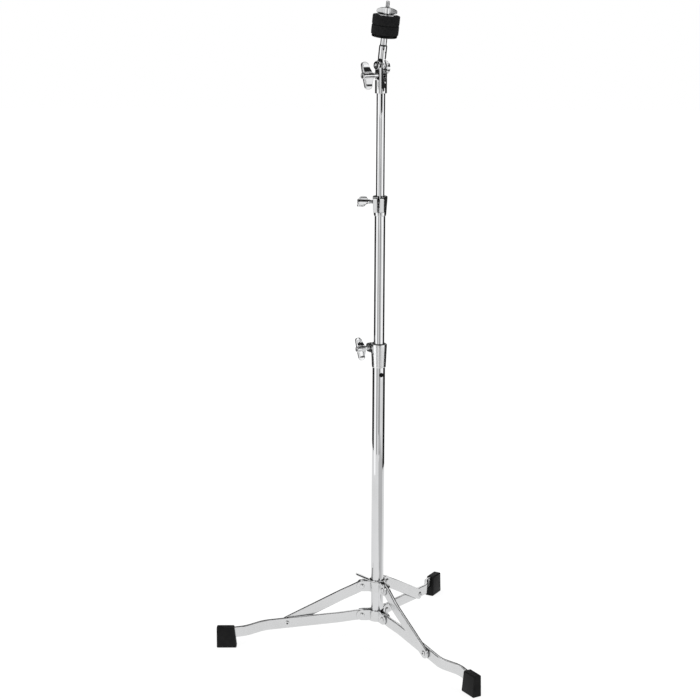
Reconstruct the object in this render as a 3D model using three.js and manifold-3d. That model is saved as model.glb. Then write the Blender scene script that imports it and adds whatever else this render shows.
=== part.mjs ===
// Straight cymbal stand with a flat tripod base, two telescoping tubes above the base tube,
// and a tilter that carries the rod with its two felts. Millimetres, +Z up.

import * as THREE from "three";
import { mergeVertices } from "three/addons/utils/BufferGeometryUtils.js";
import Module from "manifold-3d";

const wasm = await Module();
wasm.setup();

// Fits that every piece shares
const GAP = 0.3;
const OVERRUN = 5;

// Counts that set how round things are
const TUBE_SIDES = 36;
const ROUND_SIDES = 24;
const PIN_SIDES = 16;
const ARC_STEPS = 6;

// Tubes of the mast
const BASE_TUBE_RADIUS = 9.525;
const MID_TUBE_RADIUS = 7.9375;
const TOP_TUBE_RADIUS = 6.35;
const TUBE_WALL = 1.2;
const MID_TUBE_SHOWN = 193.5;
const TOP_TUBE_SHOWN = 149.8;
const MID_TUBE_INSERTED = 238;
const TOP_TUBE_INSERTED = 214;

// Hubs: three bent strips round the base tube, twice
const LEG_AZIMUTHS = [180, 60, -60].map(THREE.MathUtils.degToRad);
const LEG_SPACING = (2 * Math.PI) / LEG_AZIMUTHS.length;
const HUB_HEIGHT = 16.5;
const STRIP_THICKNESS = 2.5;
const PIVOT_RADIUS = 23.53;
const LOWER_PIVOT_Z = 46.08;
const UPPER_PIVOT_Z = 93.82;

// Flat bars of the legs and struts
const BAR_HEIGHT = 16.2;
const BAR_THICKNESS = 4.8;
const MID_PIVOT_REACH = 116.39;
const MID_PIVOT_DROP = 13.08;
const FIRST_JOGGLE_START = 12.5;
const FIRST_JOGGLE_LENGTH = 24;
const FOOT_JOGGLE_PLACE_SHARE = 0.6409;
const FOOT_JOGGLE_LENGTH = 28;
const FOOT_JOGGLE_SHIFT = 14.9;
const FOOT_REACH = 210;
const BAR_IN_FOOT = 9;

// Rubber feet
const FOOT_HEIGHT = 33;
const FOOT_LENGTH = 31;
const FOOT_INNER_TAPER = 3.6;
const FOOT_WIDTH = 14.8;
const FOOT_SIDE_TAPER = 1;
const FOOT_CORNER = 2;

// Rivets
const RIVET_RADIUS = 2.3;
const RIVET_HEAD_RADIUS = 4.1;
const RIVET_HEAD_HEIGHT = 1.9;
const RIVET_HEAD_RIM = 0.5;
const COLLAR_RIVET_RADIUS = 1.5;
const COLLAR_RIVET_HEAD_RADIUS = 3.4;
const COLLAR_RIVET_HEAD_HEIGHT = 1.4;
const COLLAR_RIVET_BELOW = 10.4;
const COLLAR_RIVET_AZIMUTH = THREE.MathUtils.degToRad(-68);

// Lock plate on the upper hub
const LOCK_PLATE_THICKNESS = 1.5;
const LOCK_PLATE_RUNNING_GAP = 0.6;
const LOCK_PLATE_RADIUS = 12.4;
const LOCK_TAB_WIDTH = 10;
const LOCK_TAB_REACH = 21;
const LOCK_TAB_RISE = 9.6;
const LOCK_TAB_ROOT = 2.2;

// Collars: a tapered body with a slot and two clamp lobes, which run further down on the upper one
const COLLAR_EDGE = 0.9;
const COLLAR_FOOT_EDGE = 1.5;
const COLLAR_SLOT_WIDTH = 4;
const LOBE_RADIUS = 7.2;
const LOBE_WIDTH = 6.2;
const LOBE_WALL = 1;
const BUSHING_LENGTH = 16;
const BUSHING_PROUD = 0.5;
const BUSHING_SLOT_WIDTH = 3.4;
const BASE_COLLAR = {
  height: 36.2,
  topRadius: 12,
  bottomRadius: 10.7,
  slotDepth: 24,
  lobeDrop: 0,
  lobeTopRound: LOBE_RADIUS,
  gripRadius: BASE_TUBE_RADIUS,
  innerRadius: MID_TUBE_RADIUS,
  azimuth: THREE.MathUtils.degToRad(128.2),
  screwSide: 1,
  screwTurn: THREE.MathUtils.degToRad(18),
};
const MID_COLLAR = {
  height: 29.5,
  topRadius: 11,
  bottomRadius: 9.3,
  slotDepth: 24,
  lobeDrop: 9,
  lobeTopRound: 3,
  gripRadius: MID_TUBE_RADIUS,
  innerRadius: TOP_TUBE_RADIUS,
  azimuth: THREE.MathUtils.degToRad(-99),
  screwSide: -1,
  screwTurn: THREE.MathUtils.degToRad(73),
};
const BASE_COLLAR_TOP = 478.2;

// Wing screws: one size in the collars, a larger one in the tilter
const SCREW_RADIUS = 2.9;
const COLLAR_WING = {
  hubRadius: 4.2,
  neckRadius: 3.6,
  edge: 0.8,
  length: 23.5,
  start: 6,
  tipStart: 12.3,
  tipWidth: 10,
  halfSpan: 17.4,
  thickness: 3,
};
const TILTER_WING = {
  hubRadius: 4.6,
  neckRadius: 3.9,
  edge: 1,
  length: 27.5,
  start: 7,
  tipStart: 14.5,
  tipWidth: 11.5,
  halfSpan: 20.2,
  thickness: 3.4,
};

// Tilter
const TILT_AXIS_AZIMUTH = THREE.MathUtils.degToRad(218.2);
const ROD_LEAN = THREE.MathUtils.degToRad(9);
const SOCKET_RADIUS = 8.75;
const SOCKET_TUBE_DEPTH = 13;
const SOCKET_WEB = 3.7;
const SOCKET_EDGE = 0.8;
const SLOT_DEPTH_BELOW_PIVOT = 23.5;
const SLOT_WIDTH = 6.6;
const EAR_FLAT = 7.4;
const EAR_FLAT_BELOW_PIVOT = 21;
const EAR_RADIUS = 9.9;
const FAR_EAR_EXTRA = 1.8;
const EAR_TOP_ABOVE_PIVOT = 6.7;
const TILT_SCREW_BELOW_PIVOT = 14.2;
const TILT_SCREW_TURN = THREE.MathUtils.degToRad(15);
const TILT_PIN_RADIUS = 2.2;
const TILT_PIN_HEAD_RADIUS = 6;
const TILT_PIN_HEAD_HEIGHT = 2.6;
const TILT_PIN_END_RADIUS = 3.4;
const TILT_PIN_END_HEIGHT = 1.3;

// Rod: lengths are measured along it from the tilter's pivot
const EYE_RADIUS = 7.5;
const ROD_RADIUS = 5.95;
const ROD_START = 10;
const ROD_SHOULDER = 28;
const ROD_CONE = 2;
const ROD_NECK_RADIUS = 4.7;
const ROD_SEAT = 40.2;
const THREAD_RADIUS = 3;
const ROD_TIP = 92.4;
const ROD_TIP_EDGE = 0.8;

// What is stacked on the rod
const CUP_RADIUS = 18.7;
const CUP_HEIGHT = 3.9;
const CUP_EDGE = 0.8;
const SLEEVE_WALL = 1.5;
const SLEEVE_LENGTH = 24;
const FELT_RADIUS = 19.8;
const FELT_HEIGHT = 13.65;
const FELT_EDGE = 1.2;
const WASHER_RADIUS = 14.6;
const WASHER_HEIGHT = 1.5;
const NUT_RADIUS = 5;
const NUT_HEIGHT = 9.2;
const NUT_EDGE = 0.8;
const NUT_SPAN = 30.6;
const NUT_WING_THICKNESS = 2.8;
const NUT_WING_HEIGHT = 8.8;
const NUT_WING_START = 1.6;
const NUT_WING_TURN = THREE.MathUtils.degToRad(-40);

// Colours
const CHROME = { color: 0xdcdde0, roughness: 0.12, metalness: 1 };
const BAR_CHROME = { color: 0xd2d3d5, roughness: 0.3, metalness: 1 };
const CAST = { color: 0xc9cacc, roughness: 0.25, metalness: 1 };
const RUBBER = { color: 0x161617, roughness: 0.8, metalness: 0 };
const FELT = { color: 0x1a1a1b, roughness: 1, metalness: 0 };
const PLASTIC = { color: 0x101011, roughness: 0.5, metalness: 0 };

// Heights that follow from the sizes above
const hubBottomZ = LOWER_PIVOT_Z - HUB_HEIGHT / 2;
const baseCollarBottomZ = BASE_COLLAR_TOP - BASE_COLLAR.height;
const midCollarBottomZ = BASE_COLLAR_TOP + MID_TUBE_SHOWN;
const midCollarTopZ = midCollarBottomZ + MID_COLLAR.height;
const socketBottomZ = midCollarTopZ + TOP_TUBE_SHOWN;
const socketSeatZ = socketBottomZ + SOCKET_TUBE_DEPTH;
const tiltPivotZ = socketSeatZ + SOCKET_WEB + SLOT_DEPTH_BELOW_PIVOT;

// Closed solids from three.js geometry

function weld(geometry) {
  const bare = geometry.index ? geometry.toNonIndexed() : geometry.clone();
  bare.deleteAttribute("normal");
  bare.deleteAttribute("uv");
  const merged = mergeVertices(bare);
  const corners = merged.index.array;
  const kept = [];
  for (let i = 0; i < corners.length; i += 3) {
    const [a, b, c] = [corners[i], corners[i + 1], corners[i + 2]];
    if (a !== b && b !== c && c !== a) kept.push(a, b, c);
  }
  merged.setIndex(kept);
  return signedVolume(merged) < 0 ? turnedInsideOut(merged) : merged;
}

function signedVolume(geometry) {
  const places = geometry.attributes.position;
  const corners = geometry.index.array;
  const [a, b, c] = [new THREE.Vector3(), new THREE.Vector3(), new THREE.Vector3()];
  let volume = 0;
  for (let i = 0; i < corners.length; i += 3) {
    a.fromBufferAttribute(places, corners[i]);
    b.fromBufferAttribute(places, corners[i + 1]);
    c.fromBufferAttribute(places, corners[i + 2]);
    volume += a.dot(b.cross(c)) / 6;
  }
  return volume;
}

function turnedInsideOut(geometry) {
  const corners = Array.from(geometry.index.array);
  for (let i = 0; i < corners.length; i += 3) {
    [corners[i + 1], corners[i + 2]] = [corners[i + 2], corners[i + 1]];
  }
  geometry.setIndex(corners);
  return geometry;
}

function solid(geometry) {
  const welded = weld(geometry);
  const vertProperties = new Float32Array(welded.attributes.position.array);
  const triVerts = new Uint32Array(welded.index.array);
  return new wasm.Manifold(new wasm.Mesh({ numProp: 3, vertProperties, triVerts }));
}

function surface(manifold) {
  const mesh = manifold.getMesh();
  const geometry = new THREE.BufferGeometry();
  geometry.setAttribute("position", new THREE.BufferAttribute(new Float32Array(mesh.vertProperties), 3));
  geometry.setIndex(Array.from(mesh.triVerts));
  const flat = geometry.toNonIndexed();
  flat.computeVertexNormals();
  return flat;
}

// A profile of [radius, height] points, turned about Z
function turned(profile, sides, closed) {
  const points = profile.map(([radius, height]) => new THREE.Vector2(radius, height));
  if (closed) points.push(points[0].clone());
  return new THREE.LatheGeometry(points, sides).rotateX(Math.PI / 2);
}

function ring(innerRadius, outerRadius, bottom, top, sides) {
  const profile = [[innerRadius, bottom], [outerRadius, bottom], [outerRadius, top], [innerRadius, top]];
  return turned(profile, sides, true);
}

function disc(radius, bottom, top, sides) {
  return turned([[0, bottom], [radius, bottom], [radius, top], [0, top]], sides, false);
}

// The same shapes with their axis along X or along Y
function alongX(geometry) {
  return geometry.rotateY(Math.PI / 2);
}

function alongY(geometry) {
  return geometry.rotateX(-Math.PI / 2);
}

function box(x0, x1, y0, y1, z0, z1) {
  return new THREE.BoxGeometry(x1 - x0, y1 - y0, z1 - z0)
    .translate((x0 + x1) / 2, (y0 + y1) / 2, (z0 + z1) / 2);
}

// An outline in X and Z, as thick as given along Y and centred there
function upright(shape, thickness) {
  return new THREE.ExtrudeGeometry(shape, { depth: thickness, bevelEnabled: false, curveSegments: ARC_STEPS })
    .translate(0, 0, -thickness / 2)
    .rotateX(Math.PI / 2);
}

// An outline in X and Y, as high as given and centred on Z
function flat(shape, height) {
  return new THREE.ExtrudeGeometry(shape, { depth: height, bevelEnabled: false, curveSegments: ARC_STEPS })
    .translate(0, 0, -height / 2);
}

// A polygon whose corners are rounded by the radii given with them: [x, y, radius]
function roundedShape(corners) {
  const shape = new THREE.Shape();
  corners.forEach(([x, y, radius], i) => {
    const corner = new THREE.Vector2(x, y);
    const [beforeX, beforeY] = corners[(i + corners.length - 1) % corners.length];
    const [afterX, afterY] = corners[(i + 1) % corners.length];
    const toBefore = new THREE.Vector2(beforeX, beforeY).sub(corner).setLength(radius);
    const toAfter = new THREE.Vector2(afterX, afterY).sub(corner).setLength(radius);
    const start = corner.clone().add(toBefore);
    const end = corner.clone().add(toAfter);
    if (i === 0) shape.moveTo(start.x, start.y);
    else shape.lineTo(start.x, start.y);
    if (radius > 0) shape.quadraticCurveTo(corner.x, corner.y, end.x, end.y);
  });
  shape.closePath();
  return shape;
}

function piece(name, geometry, look) {
  const mesh = new THREE.Mesh(geometry, new THREE.MeshStandardMaterial(look));
  mesh.name = name;
  return mesh;
}

function placed(object, x, y, z) {
  object.position.set(x, y, z);
  return object;
}

const stand = new THREE.Group();

// Tubes

const rivetZ = baseCollarBottomZ - COLLAR_RIVET_BELOW;
const baseTubeTopZ = BASE_COLLAR_TOP - BUSHING_LENGTH - GAP;
const midTubeTopZ = midCollarTopZ - BUSHING_LENGTH - GAP;

function tube(radius, bottom, top) {
  return ring(radius - TUBE_WALL, radius, bottom, top, TUBE_SIDES);
}

function baseTube() {
  const hole = alongX(disc(COLLAR_RIVET_RADIUS + GAP, 0, BASE_TUBE_RADIUS + OVERRUN, PIN_SIDES))
    .rotateZ(COLLAR_RIVET_AZIMUTH)
    .translate(0, 0, rivetZ);
  return surface(solid(tube(BASE_TUBE_RADIUS, hubBottomZ, baseTubeTopZ)).subtract(solid(hole)));
}

function collarRivet() {
  const inside = BASE_TUBE_RADIUS - TUBE_WALL;
  const seat = BASE_TUBE_RADIUS + GAP;
  const profile = [
    [0, inside],
    [COLLAR_RIVET_RADIUS, inside],
    [COLLAR_RIVET_RADIUS, seat],
    [COLLAR_RIVET_HEAD_RADIUS, seat],
    [COLLAR_RIVET_HEAD_RADIUS, seat + COLLAR_RIVET_HEAD_HEIGHT / 2],
    [COLLAR_RIVET_HEAD_RADIUS / 2, seat + COLLAR_RIVET_HEAD_HEIGHT],
    [0, seat + COLLAR_RIVET_HEAD_HEIGHT],
  ];
  return weld(alongX(turned(profile, PIN_SIDES, false)).rotateZ(COLLAR_RIVET_AZIMUTH));
}

const midTube = weld(tube(MID_TUBE_RADIUS, BASE_COLLAR_TOP - MID_TUBE_INSERTED, midTubeTopZ));
const topTube = weld(tube(TOP_TUBE_RADIUS, midCollarTopZ - TOP_TUBE_INSERTED, socketSeatZ - GAP));
stand.add(piece("base_tube", baseTube(), CHROME));
stand.add(placed(piece("collar_rivet", collarRivet(), CHROME), 0, 0, rivetZ));
stand.add(piece("mid_tube", midTube, CHROME));
stand.add(piece("top_tube", topTube, CHROME));

// Wing screws: the axis is X, the flange lies at zero and the wings stand at positive X

function wingShape(wing) {
  const tipEnd = wing.tipStart + wing.tipWidth;
  const tipRound = wing.tipWidth / 2;
  return roundedShape([
    [wing.start, 0, 0],
    [wing.tipStart, -wing.halfSpan, tipRound],
    [tipEnd, -wing.halfSpan, tipRound],
    [wing.length - wing.edge, 0, 0],
    [tipEnd, wing.halfSpan, tipRound],
    [wing.tipStart, wing.halfSpan, tipRound],
  ]);
}

function wingScrew(wing, shankLength) {
  const profile = [
    [0, -shankLength],
    [SCREW_RADIUS, -shankLength],
    [SCREW_RADIUS, 0],
    [wing.hubRadius, 0],
    [wing.neckRadius, wing.start],
    [wing.hubRadius, wing.length - wing.edge],
    [wing.hubRadius - wing.edge, wing.length],
    [0, wing.length],
  ];
  const hub = solid(alongX(turned(profile, ROUND_SIDES, false)));
  return surface(hub.add(solid(upright(wingShape(wing), wing.thickness))));
}

// Collars: the slot looks along X, the screw lies along Y, and zero is the collar's bottom

function collarSizes(collar) {
  const bore = collar.gripRadius + GAP;
  const screwOffset = bore + SCREW_RADIUS + GAP + LOBE_WALL;
  const halfWidth = COLLAR_SLOT_WIDTH / 2 + LOBE_WIDTH;
  return { bore, screwOffset, halfWidth, screwZ: collar.height - LOBE_RADIUS };
}

function collarBody(collar) {
  const { bore, screwOffset, halfWidth, screwZ } = collarSizes(collar);
  const body = solid(turned([
    [0, 0],
    [collar.bottomRadius - COLLAR_EDGE, 0],
    [collar.bottomRadius, COLLAR_FOOT_EDGE],
    [collar.topRadius, collar.height - COLLAR_EDGE],
    [collar.topRadius - COLLAR_EDGE, collar.height],
    [0, collar.height],
  ], TUBE_SIDES, false));
  const lobeReach = screwOffset + LOBE_RADIUS;
  const lobeBottom = screwZ - LOBE_RADIUS - collar.lobeDrop;
  const lobeShape = roundedShape([
    [0, lobeBottom, 0],
    [lobeReach, lobeBottom, LOBE_RADIUS],
    [lobeReach, collar.height, collar.lobeTopRound],
    [0, collar.height, 0],
  ]);
  const lobes = solid(upright(lobeShape, 2 * halfWidth));
  const core = solid(disc(bore, -OVERRUN, collar.height + OVERRUN, TUBE_SIDES));
  const slotReach = lobeReach + OVERRUN;
  const slotBottom = collar.height - collar.slotDepth;
  const slot = solid(box(
    0, slotReach, -COLLAR_SLOT_WIDTH / 2, COLLAR_SLOT_WIDTH / 2, slotBottom, collar.height + OVERRUN,
  ));
  const screwHole = solid(
    alongY(disc(SCREW_RADIUS + GAP, -halfWidth - OVERRUN, halfWidth + OVERRUN, PIN_SIDES))
      .translate(screwOffset, 0, screwZ),
  );
  return surface(body.add(lobes).subtract(core).subtract(slot).subtract(screwHole));
}

function bushing(collar) {
  const bottom = collar.height - BUSHING_LENGTH;
  const top = collar.height + BUSHING_PROUD;
  const shell = solid(ring(collar.innerRadius + GAP, collar.gripRadius, bottom, top, TUBE_SIDES));
  const slit = solid(box(
    0, collar.gripRadius + OVERRUN, -BUSHING_SLOT_WIDTH / 2, BUSHING_SLOT_WIDTH / 2,
    bottom - OVERRUN, top + OVERRUN,
  ));
  return surface(shell.subtract(slit));
}

function collarGroup(prefix, collar) {
  const { screwOffset, halfWidth, screwZ } = collarSizes(collar);
  const group = new THREE.Group();
  group.add(piece(`${prefix}_collar`, collarBody(collar), CAST));
  group.add(piece(`${prefix}_bushing`, bushing(collar), PLASTIC));
  const seat = halfWidth + GAP;
  const screw = piece(`${prefix}_wing_screw`, wingScrew(COLLAR_WING, seat + halfWidth), CHROME);
  screw.rotation.x = collar.screwTurn;
  const turnedOut = new THREE.Group();
  turnedOut.rotation.z = (collar.screwSide * Math.PI) / 2;
  turnedOut.add(screw);
  group.add(placed(turnedOut, screwOffset, collar.screwSide * seat, screwZ));
  group.rotation.z = collar.azimuth;
  return group;
}

stand.add(placed(collarGroup("base", BASE_COLLAR), 0, 0, baseCollarBottomZ));
stand.add(placed(collarGroup("mid", MID_COLLAR), 0, 0, midCollarBottomZ));

// Hub strips: an arc round the tube between two ears, each ear ending round its rivet

const earNear = BAR_THICKNESS / 2 + GAP;
const earFar = earNear + STRIP_THICKNESS;
const stripInner = BASE_TUBE_RADIUS + GAP;
const stripOuter = stripInner + STRIP_THICKNESS;

// What is cut away beyond an ear's round end, in X and Z from the rivet
function earCorners() {
  const round = HUB_HEIGHT / 2;
  const reach = round + OVERRUN;
  const shape = new THREE.Shape();
  shape.moveTo(0, reach);
  shape.lineTo(0, round);
  shape.absarc(0, 0, round, Math.PI / 2, -Math.PI / 2, true);
  shape.lineTo(0, -reach);
  shape.lineTo(reach, -reach);
  shape.lineTo(reach, reach);
  shape.closePath();
  return shape;
}

function hubStrip() {
  const half = LEG_SPACING / 2;
  const innerAngle = half - Math.asin(earNear / stripInner);
  const outerAngle = half - Math.asin(earFar / stripOuter);
  const earEnd = PIVOT_RADIUS + HUB_HEIGHT / 2;
  const earPoint = (side, offset) => {
    const along = new THREE.Vector2(Math.cos(half), side * Math.sin(half)).multiplyScalar(earEnd);
    const across = new THREE.Vector2(Math.sin(half), -side * Math.cos(half)).multiplyScalar(offset);
    return along.add(across);
  };
  const outline = new THREE.Shape();
  const start = earPoint(1, earNear);
  outline.moveTo(start.x, start.y);
  outline.absarc(0, 0, stripInner, innerAngle, -innerAngle, true);
  for (const point of [earPoint(-1, earNear), earPoint(-1, earFar)]) outline.lineTo(point.x, point.y);
  outline.absarc(0, 0, stripOuter, -outerAngle, outerAngle, false);
  const end = earPoint(1, earFar);
  outline.lineTo(end.x, end.y);
  outline.closePath();
  let strip = solid(flat(outline, HUB_HEIGHT));
  const middle = (earNear + earFar) / 2;
  for (const side of [1, -1]) {
    const atEar = (geometry) => geometry.translate(PIVOT_RADIUS, -side * middle, 0).rotateZ(side * half);
    const hole = alongY(disc(RIVET_RADIUS + GAP, -STRIP_THICKNESS, STRIP_THICKNESS, PIN_SIDES));
    strip = strip.subtract(solid(atEar(upright(earCorners(), 2 * STRIP_THICKNESS))));
    strip = strip.subtract(solid(atEar(hole)));
  }
  return surface(strip);
}

function domedRivet(gripHalf, length, bothHeads) {
  const seat = gripHalf + GAP;
  const head = (sign) => [
    [RIVET_RADIUS, sign * seat],
    [RIVET_HEAD_RADIUS, sign * seat],
    [RIVET_HEAD_RADIUS, sign * (seat + RIVET_HEAD_RIM)],
    [RIVET_HEAD_RADIUS / 2, sign * (seat + RIVET_HEAD_HEIGHT)],
    [0, sign * (seat + RIVET_HEAD_HEIGHT)],
  ];
  const lower = bothHeads ? head(-1).reverse() : [[0, seat - length], [RIVET_RADIUS, seat - length]];
  return weld(alongY(turned([...lower, ...head(1)], PIN_SIDES, false)));
}

LEG_AZIMUTHS.forEach((azimuth, i) => {
  const strips = new THREE.Group();
  const rivets = new THREE.Group();
  const levels = { lower: LOWER_PIVOT_Z, upper: UPPER_PIVOT_Z };
  for (const [level, z] of Object.entries(levels)) {
    strips.add(placed(piece(`${level}_hub_strip_${i + 1}`, hubStrip(), BAR_CHROME), 0, 0, z));
    const rivet = piece(`${level}_hub_rivet_${i + 1}`, domedRivet(earFar, 0, true), CHROME);
    rivets.add(placed(rivet, PIVOT_RADIUS, 0, z));
  }
  strips.rotation.z = azimuth + LEG_SPACING / 2;
  rivets.rotation.z = azimuth;
  stand.add(strips, rivets);
});

// Legs and struts: flat bars that lie side by side at the middle rivet

const barSide = (BAR_THICKNESS + GAP) / 2;
const legSlope = Math.atan2(MID_PIVOT_DROP, MID_PIVOT_REACH);
const strutDrop = UPPER_PIVOT_Z - LOWER_PIVOT_Z + MID_PIVOT_DROP;
const strutSlope = Math.atan2(strutDrop, MID_PIVOT_REACH);
const legToRivet = Math.hypot(MID_PIVOT_REACH, MID_PIVOT_DROP);
const strutLength = Math.hypot(MID_PIVOT_REACH, strutDrop);
const legLength = (FOOT_REACH + BAR_IN_FOOT) / Math.cos(legSlope);
const footSide = barSide + FOOT_JOGGLE_SHIFT;
const footFace = (FOOT_REACH - FOOT_LENGTH / 2) / Math.cos(legSlope);
const footJoggleMiddle = legToRivet + FOOT_JOGGLE_PLACE_SHARE * (footFace - legToRivet);

// A bar seen from above as a centre line of [x, y] points, with mitred bends
function bar(centreLine) {
  const points = centreLine.map(([x, y]) => new THREE.Vector2(x, y));
  const edge = (sign) => points.map((point, i) => {
    const before = points[Math.max(i - 1, 0)];
    const after = points[Math.min(i + 1, points.length - 1)];
    const into = point.clone().sub(before).normalize();
    const out = after.clone().sub(point).normalize();
    if (i === 0) into.copy(out);
    if (i === points.length - 1) out.copy(into);
    const normal = new THREE.Vector2(-into.y - out.y, into.x + out.x).normalize();
    const stretch = 1 / (normal.x * -into.y + normal.y * into.x);
    return point.clone().addScaledVector(normal, (sign * stretch * BAR_THICKNESS) / 2);
  });
  return solid(flat(new THREE.Shape([...edge(1), ...edge(-1).reverse()]), BAR_HEIGHT));
}

function eye(x, y) {
  const round = disc(BAR_HEIGHT / 2, -BAR_THICKNESS / 2, BAR_THICKNESS / 2, ROUND_SIDES);
  return solid(alongY(round).translate(x, y, 0));
}

function rivetHole(x) {
  return solid(alongY(disc(RIVET_RADIUS + GAP, -footSide, footSide, PIN_SIDES)).translate(x, 0, 0));
}

function legBar() {
  const joggled = bar([
    [0, 0],
    [FIRST_JOGGLE_START, 0],
    [FIRST_JOGGLE_START + FIRST_JOGGLE_LENGTH, barSide],
    [footJoggleMiddle - FOOT_JOGGLE_LENGTH / 2, barSide],
    [footJoggleMiddle + FOOT_JOGGLE_LENGTH / 2, footSide],
    [legLength, footSide],
  ]);
  return surface(joggled.add(eye(0, 0)).subtract(rivetHole(0)).subtract(rivetHole(legToRivet)));
}

function strutBar() {
  const joggled = bar([
    [0, 0],
    [FIRST_JOGGLE_START, 0],
    [FIRST_JOGGLE_START + FIRST_JOGGLE_LENGTH, -barSide],
    [strutLength, -barSide],
  ]);
  const ends = joggled.add(eye(0, 0)).add(eye(strutLength, -barSide));
  return surface(ends.subtract(rivetHole(0)).subtract(rivetHole(strutLength)));
}

function footBlock() {
  const half = FOOT_LENGTH / 2;
  const side = solid(upright(roundedShape([
    [-half, 0, FOOT_CORNER / 2],
    [half, 0, FOOT_CORNER / 2],
    [half, FOOT_HEIGHT, FOOT_CORNER],
    [-half + FOOT_INNER_TAPER, FOOT_HEIGHT, FOOT_CORNER],
  ]), FOOT_WIDTH));
  const halfWidth = FOOT_WIDTH / 2;
  const front = solid(upright(roundedShape([
    [-halfWidth, 0, 0],
    [halfWidth, 0, 0],
    [halfWidth - FOOT_SIDE_TAPER, FOOT_HEIGHT, FOOT_CORNER],
    [-halfWidth + FOOT_SIDE_TAPER, FOOT_HEIGHT, FOOT_CORNER],
  ]), FOOT_LENGTH + OVERRUN).rotateZ(Math.PI / 2));
  const barZ = LOWER_PIVOT_Z - FOOT_REACH * Math.tan(legSlope);
  const halfBar = BAR_THICKNESS / 2 + GAP;
  const halfHigh = BAR_HEIGHT / 2 + GAP;
  const pocketEnd = BAR_IN_FOOT / Math.cos(legSlope) + GAP;
  const pocket = box(-FOOT_LENGTH, pocketEnd, -halfBar, halfBar, -halfHigh, halfHigh)
    .rotateY(legSlope)
    .translate(0, 0, barZ);
  return surface(side.intersect(front).subtract(solid(pocket)));
}

const midRivetGrip = BAR_THICKNESS + GAP / 2;
const midRivetLength = BAR_THICKNESS + GAP;
LEG_AZIMUTHS.forEach((azimuth, i) => {
  const number = i + 1;
  const limb = new THREE.Group();
  const leg = new THREE.Group();
  leg.rotation.y = legSlope;
  leg.add(piece(`leg_${number}`, legBar(), BAR_CHROME));
  const legRivet = piece(`leg_rivet_${number}`, domedRivet(midRivetGrip, midRivetLength, false), CHROME);
  leg.add(placed(legRivet, legToRivet, 0, 0));
  limb.add(placed(leg, PIVOT_RADIUS, 0, LOWER_PIVOT_Z));
  const strut = new THREE.Group();
  strut.rotation.y = strutSlope;
  strut.add(piece(`strut_${number}`, strutBar(), BAR_CHROME));
  const strutRivet = piece(`strut_rivet_${number}`, domedRivet(midRivetGrip, midRivetLength, false), CHROME);
  strutRivet.rotation.x = Math.PI;
  strut.add(placed(strutRivet, strutLength, 0, 0));
  limb.add(placed(strut, PIVOT_RADIUS, 0, UPPER_PIVOT_Z));
  limb.add(placed(piece(`foot_${number}`, footBlock(), RUBBER), PIVOT_RADIUS + FOOT_REACH, footSide, 0));
  limb.rotation.z = azimuth;
  stand.add(limb);
});

// Lock plate: a ring on the upper hub with a tab that rises outwards over the first leg

function lockPlate() {
  const top = LOCK_PLATE_THICKNESS;
  const plate = solid(disc(LOCK_PLATE_RADIUS, 0, top, TUBE_SIDES));
  const hole = solid(disc(BASE_TUBE_RADIUS + LOCK_PLATE_RUNNING_GAP, -OVERRUN, top + OVERRUN, TUBE_SIDES));
  const root = LOCK_PLATE_RADIUS - LOCK_TAB_ROOT;
  const end = LOCK_PLATE_RADIUS + LOCK_TAB_REACH;
  const tabShape = new THREE.Shape([
    new THREE.Vector2(root, 0),
    new THREE.Vector2(LOCK_PLATE_RADIUS, 0),
    new THREE.Vector2(end, LOCK_TAB_RISE),
    new THREE.Vector2(end, LOCK_TAB_RISE + top),
    new THREE.Vector2(LOCK_PLATE_RADIUS, top),
    new THREE.Vector2(root, top),
  ]);
  const tab = solid(upright(tabShape, LOCK_TAB_WIDTH));
  return surface(plate.add(tab).subtract(hole));
}

const lock = piece("lock_plate", lockPlate(), CHROME);
lock.rotation.z = LEG_AZIMUTHS[0];
stand.add(placed(lock, 0, 0, UPPER_PIVOT_Z + HUB_HEIGHT / 2 + GAP));

// Tilter socket: X is the tilt axis, Z is zero at the pivot; the far ear is thicker and stands proud

function tilterSocket() {
  const bottom = socketBottomZ - tiltPivotZ;
  const seat = socketSeatZ - tiltPivotZ;
  const earCentre = EAR_TOP_ABOVE_PIVOT - EAR_RADIUS;
  const wide = EAR_RADIUS + OVERRUN;
  const body = solid(turned([
    [0, bottom],
    [SOCKET_RADIUS - SOCKET_EDGE, bottom],
    [SOCKET_RADIUS, bottom + SOCKET_EDGE],
    [SOCKET_RADIUS, earCentre],
    [0, earCentre],
  ], TUBE_SIDES, false));
  let socket = body;
  for (const side of [-1, 1]) {
    const flatMiddle = side * (EAR_FLAT + wide / 2);
    socket = socket.subtract(solid(box(
      flatMiddle - wide / 2, flatMiddle + wide / 2, -wide, wide, -EAR_FLAT_BELOW_PIVOT, OVERRUN,
    )));
  }
  const ear = (from, to) => solid(alongX(disc(EAR_RADIUS, from, to, TUBE_SIDES)).translate(0, 0, earCentre));
  const barrel = solid(disc(SOCKET_RADIUS, -wide, wide, TUBE_SIDES));
  const nearEar = ear(0, EAR_FLAT).intersect(barrel);
  const farEar = ear(-EAR_FLAT - FAR_EAR_EXTRA, 0);
  const bore = solid(disc(TOP_TUBE_RADIUS + GAP, bottom - OVERRUN, seat, TUBE_SIDES));
  const slot = solid(box(-SLOT_WIDTH / 2, SLOT_WIDTH / 2, -wide, wide, -SLOT_DEPTH_BELOW_PIVOT, wide));
  const pinHole = solid(alongX(disc(TILT_PIN_RADIUS + GAP, -wide, wide, PIN_SIDES)));
  const screwHole = solid(
    alongX(disc(SCREW_RADIUS + GAP, -wide, wide, PIN_SIDES)).translate(0, 0, -TILT_SCREW_BELOW_PIVOT),
  );
  socket = socket.add(nearEar).add(farEar).subtract(bore).subtract(slot);
  return surface(socket.subtract(pinHole).subtract(screwHole));
}

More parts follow.
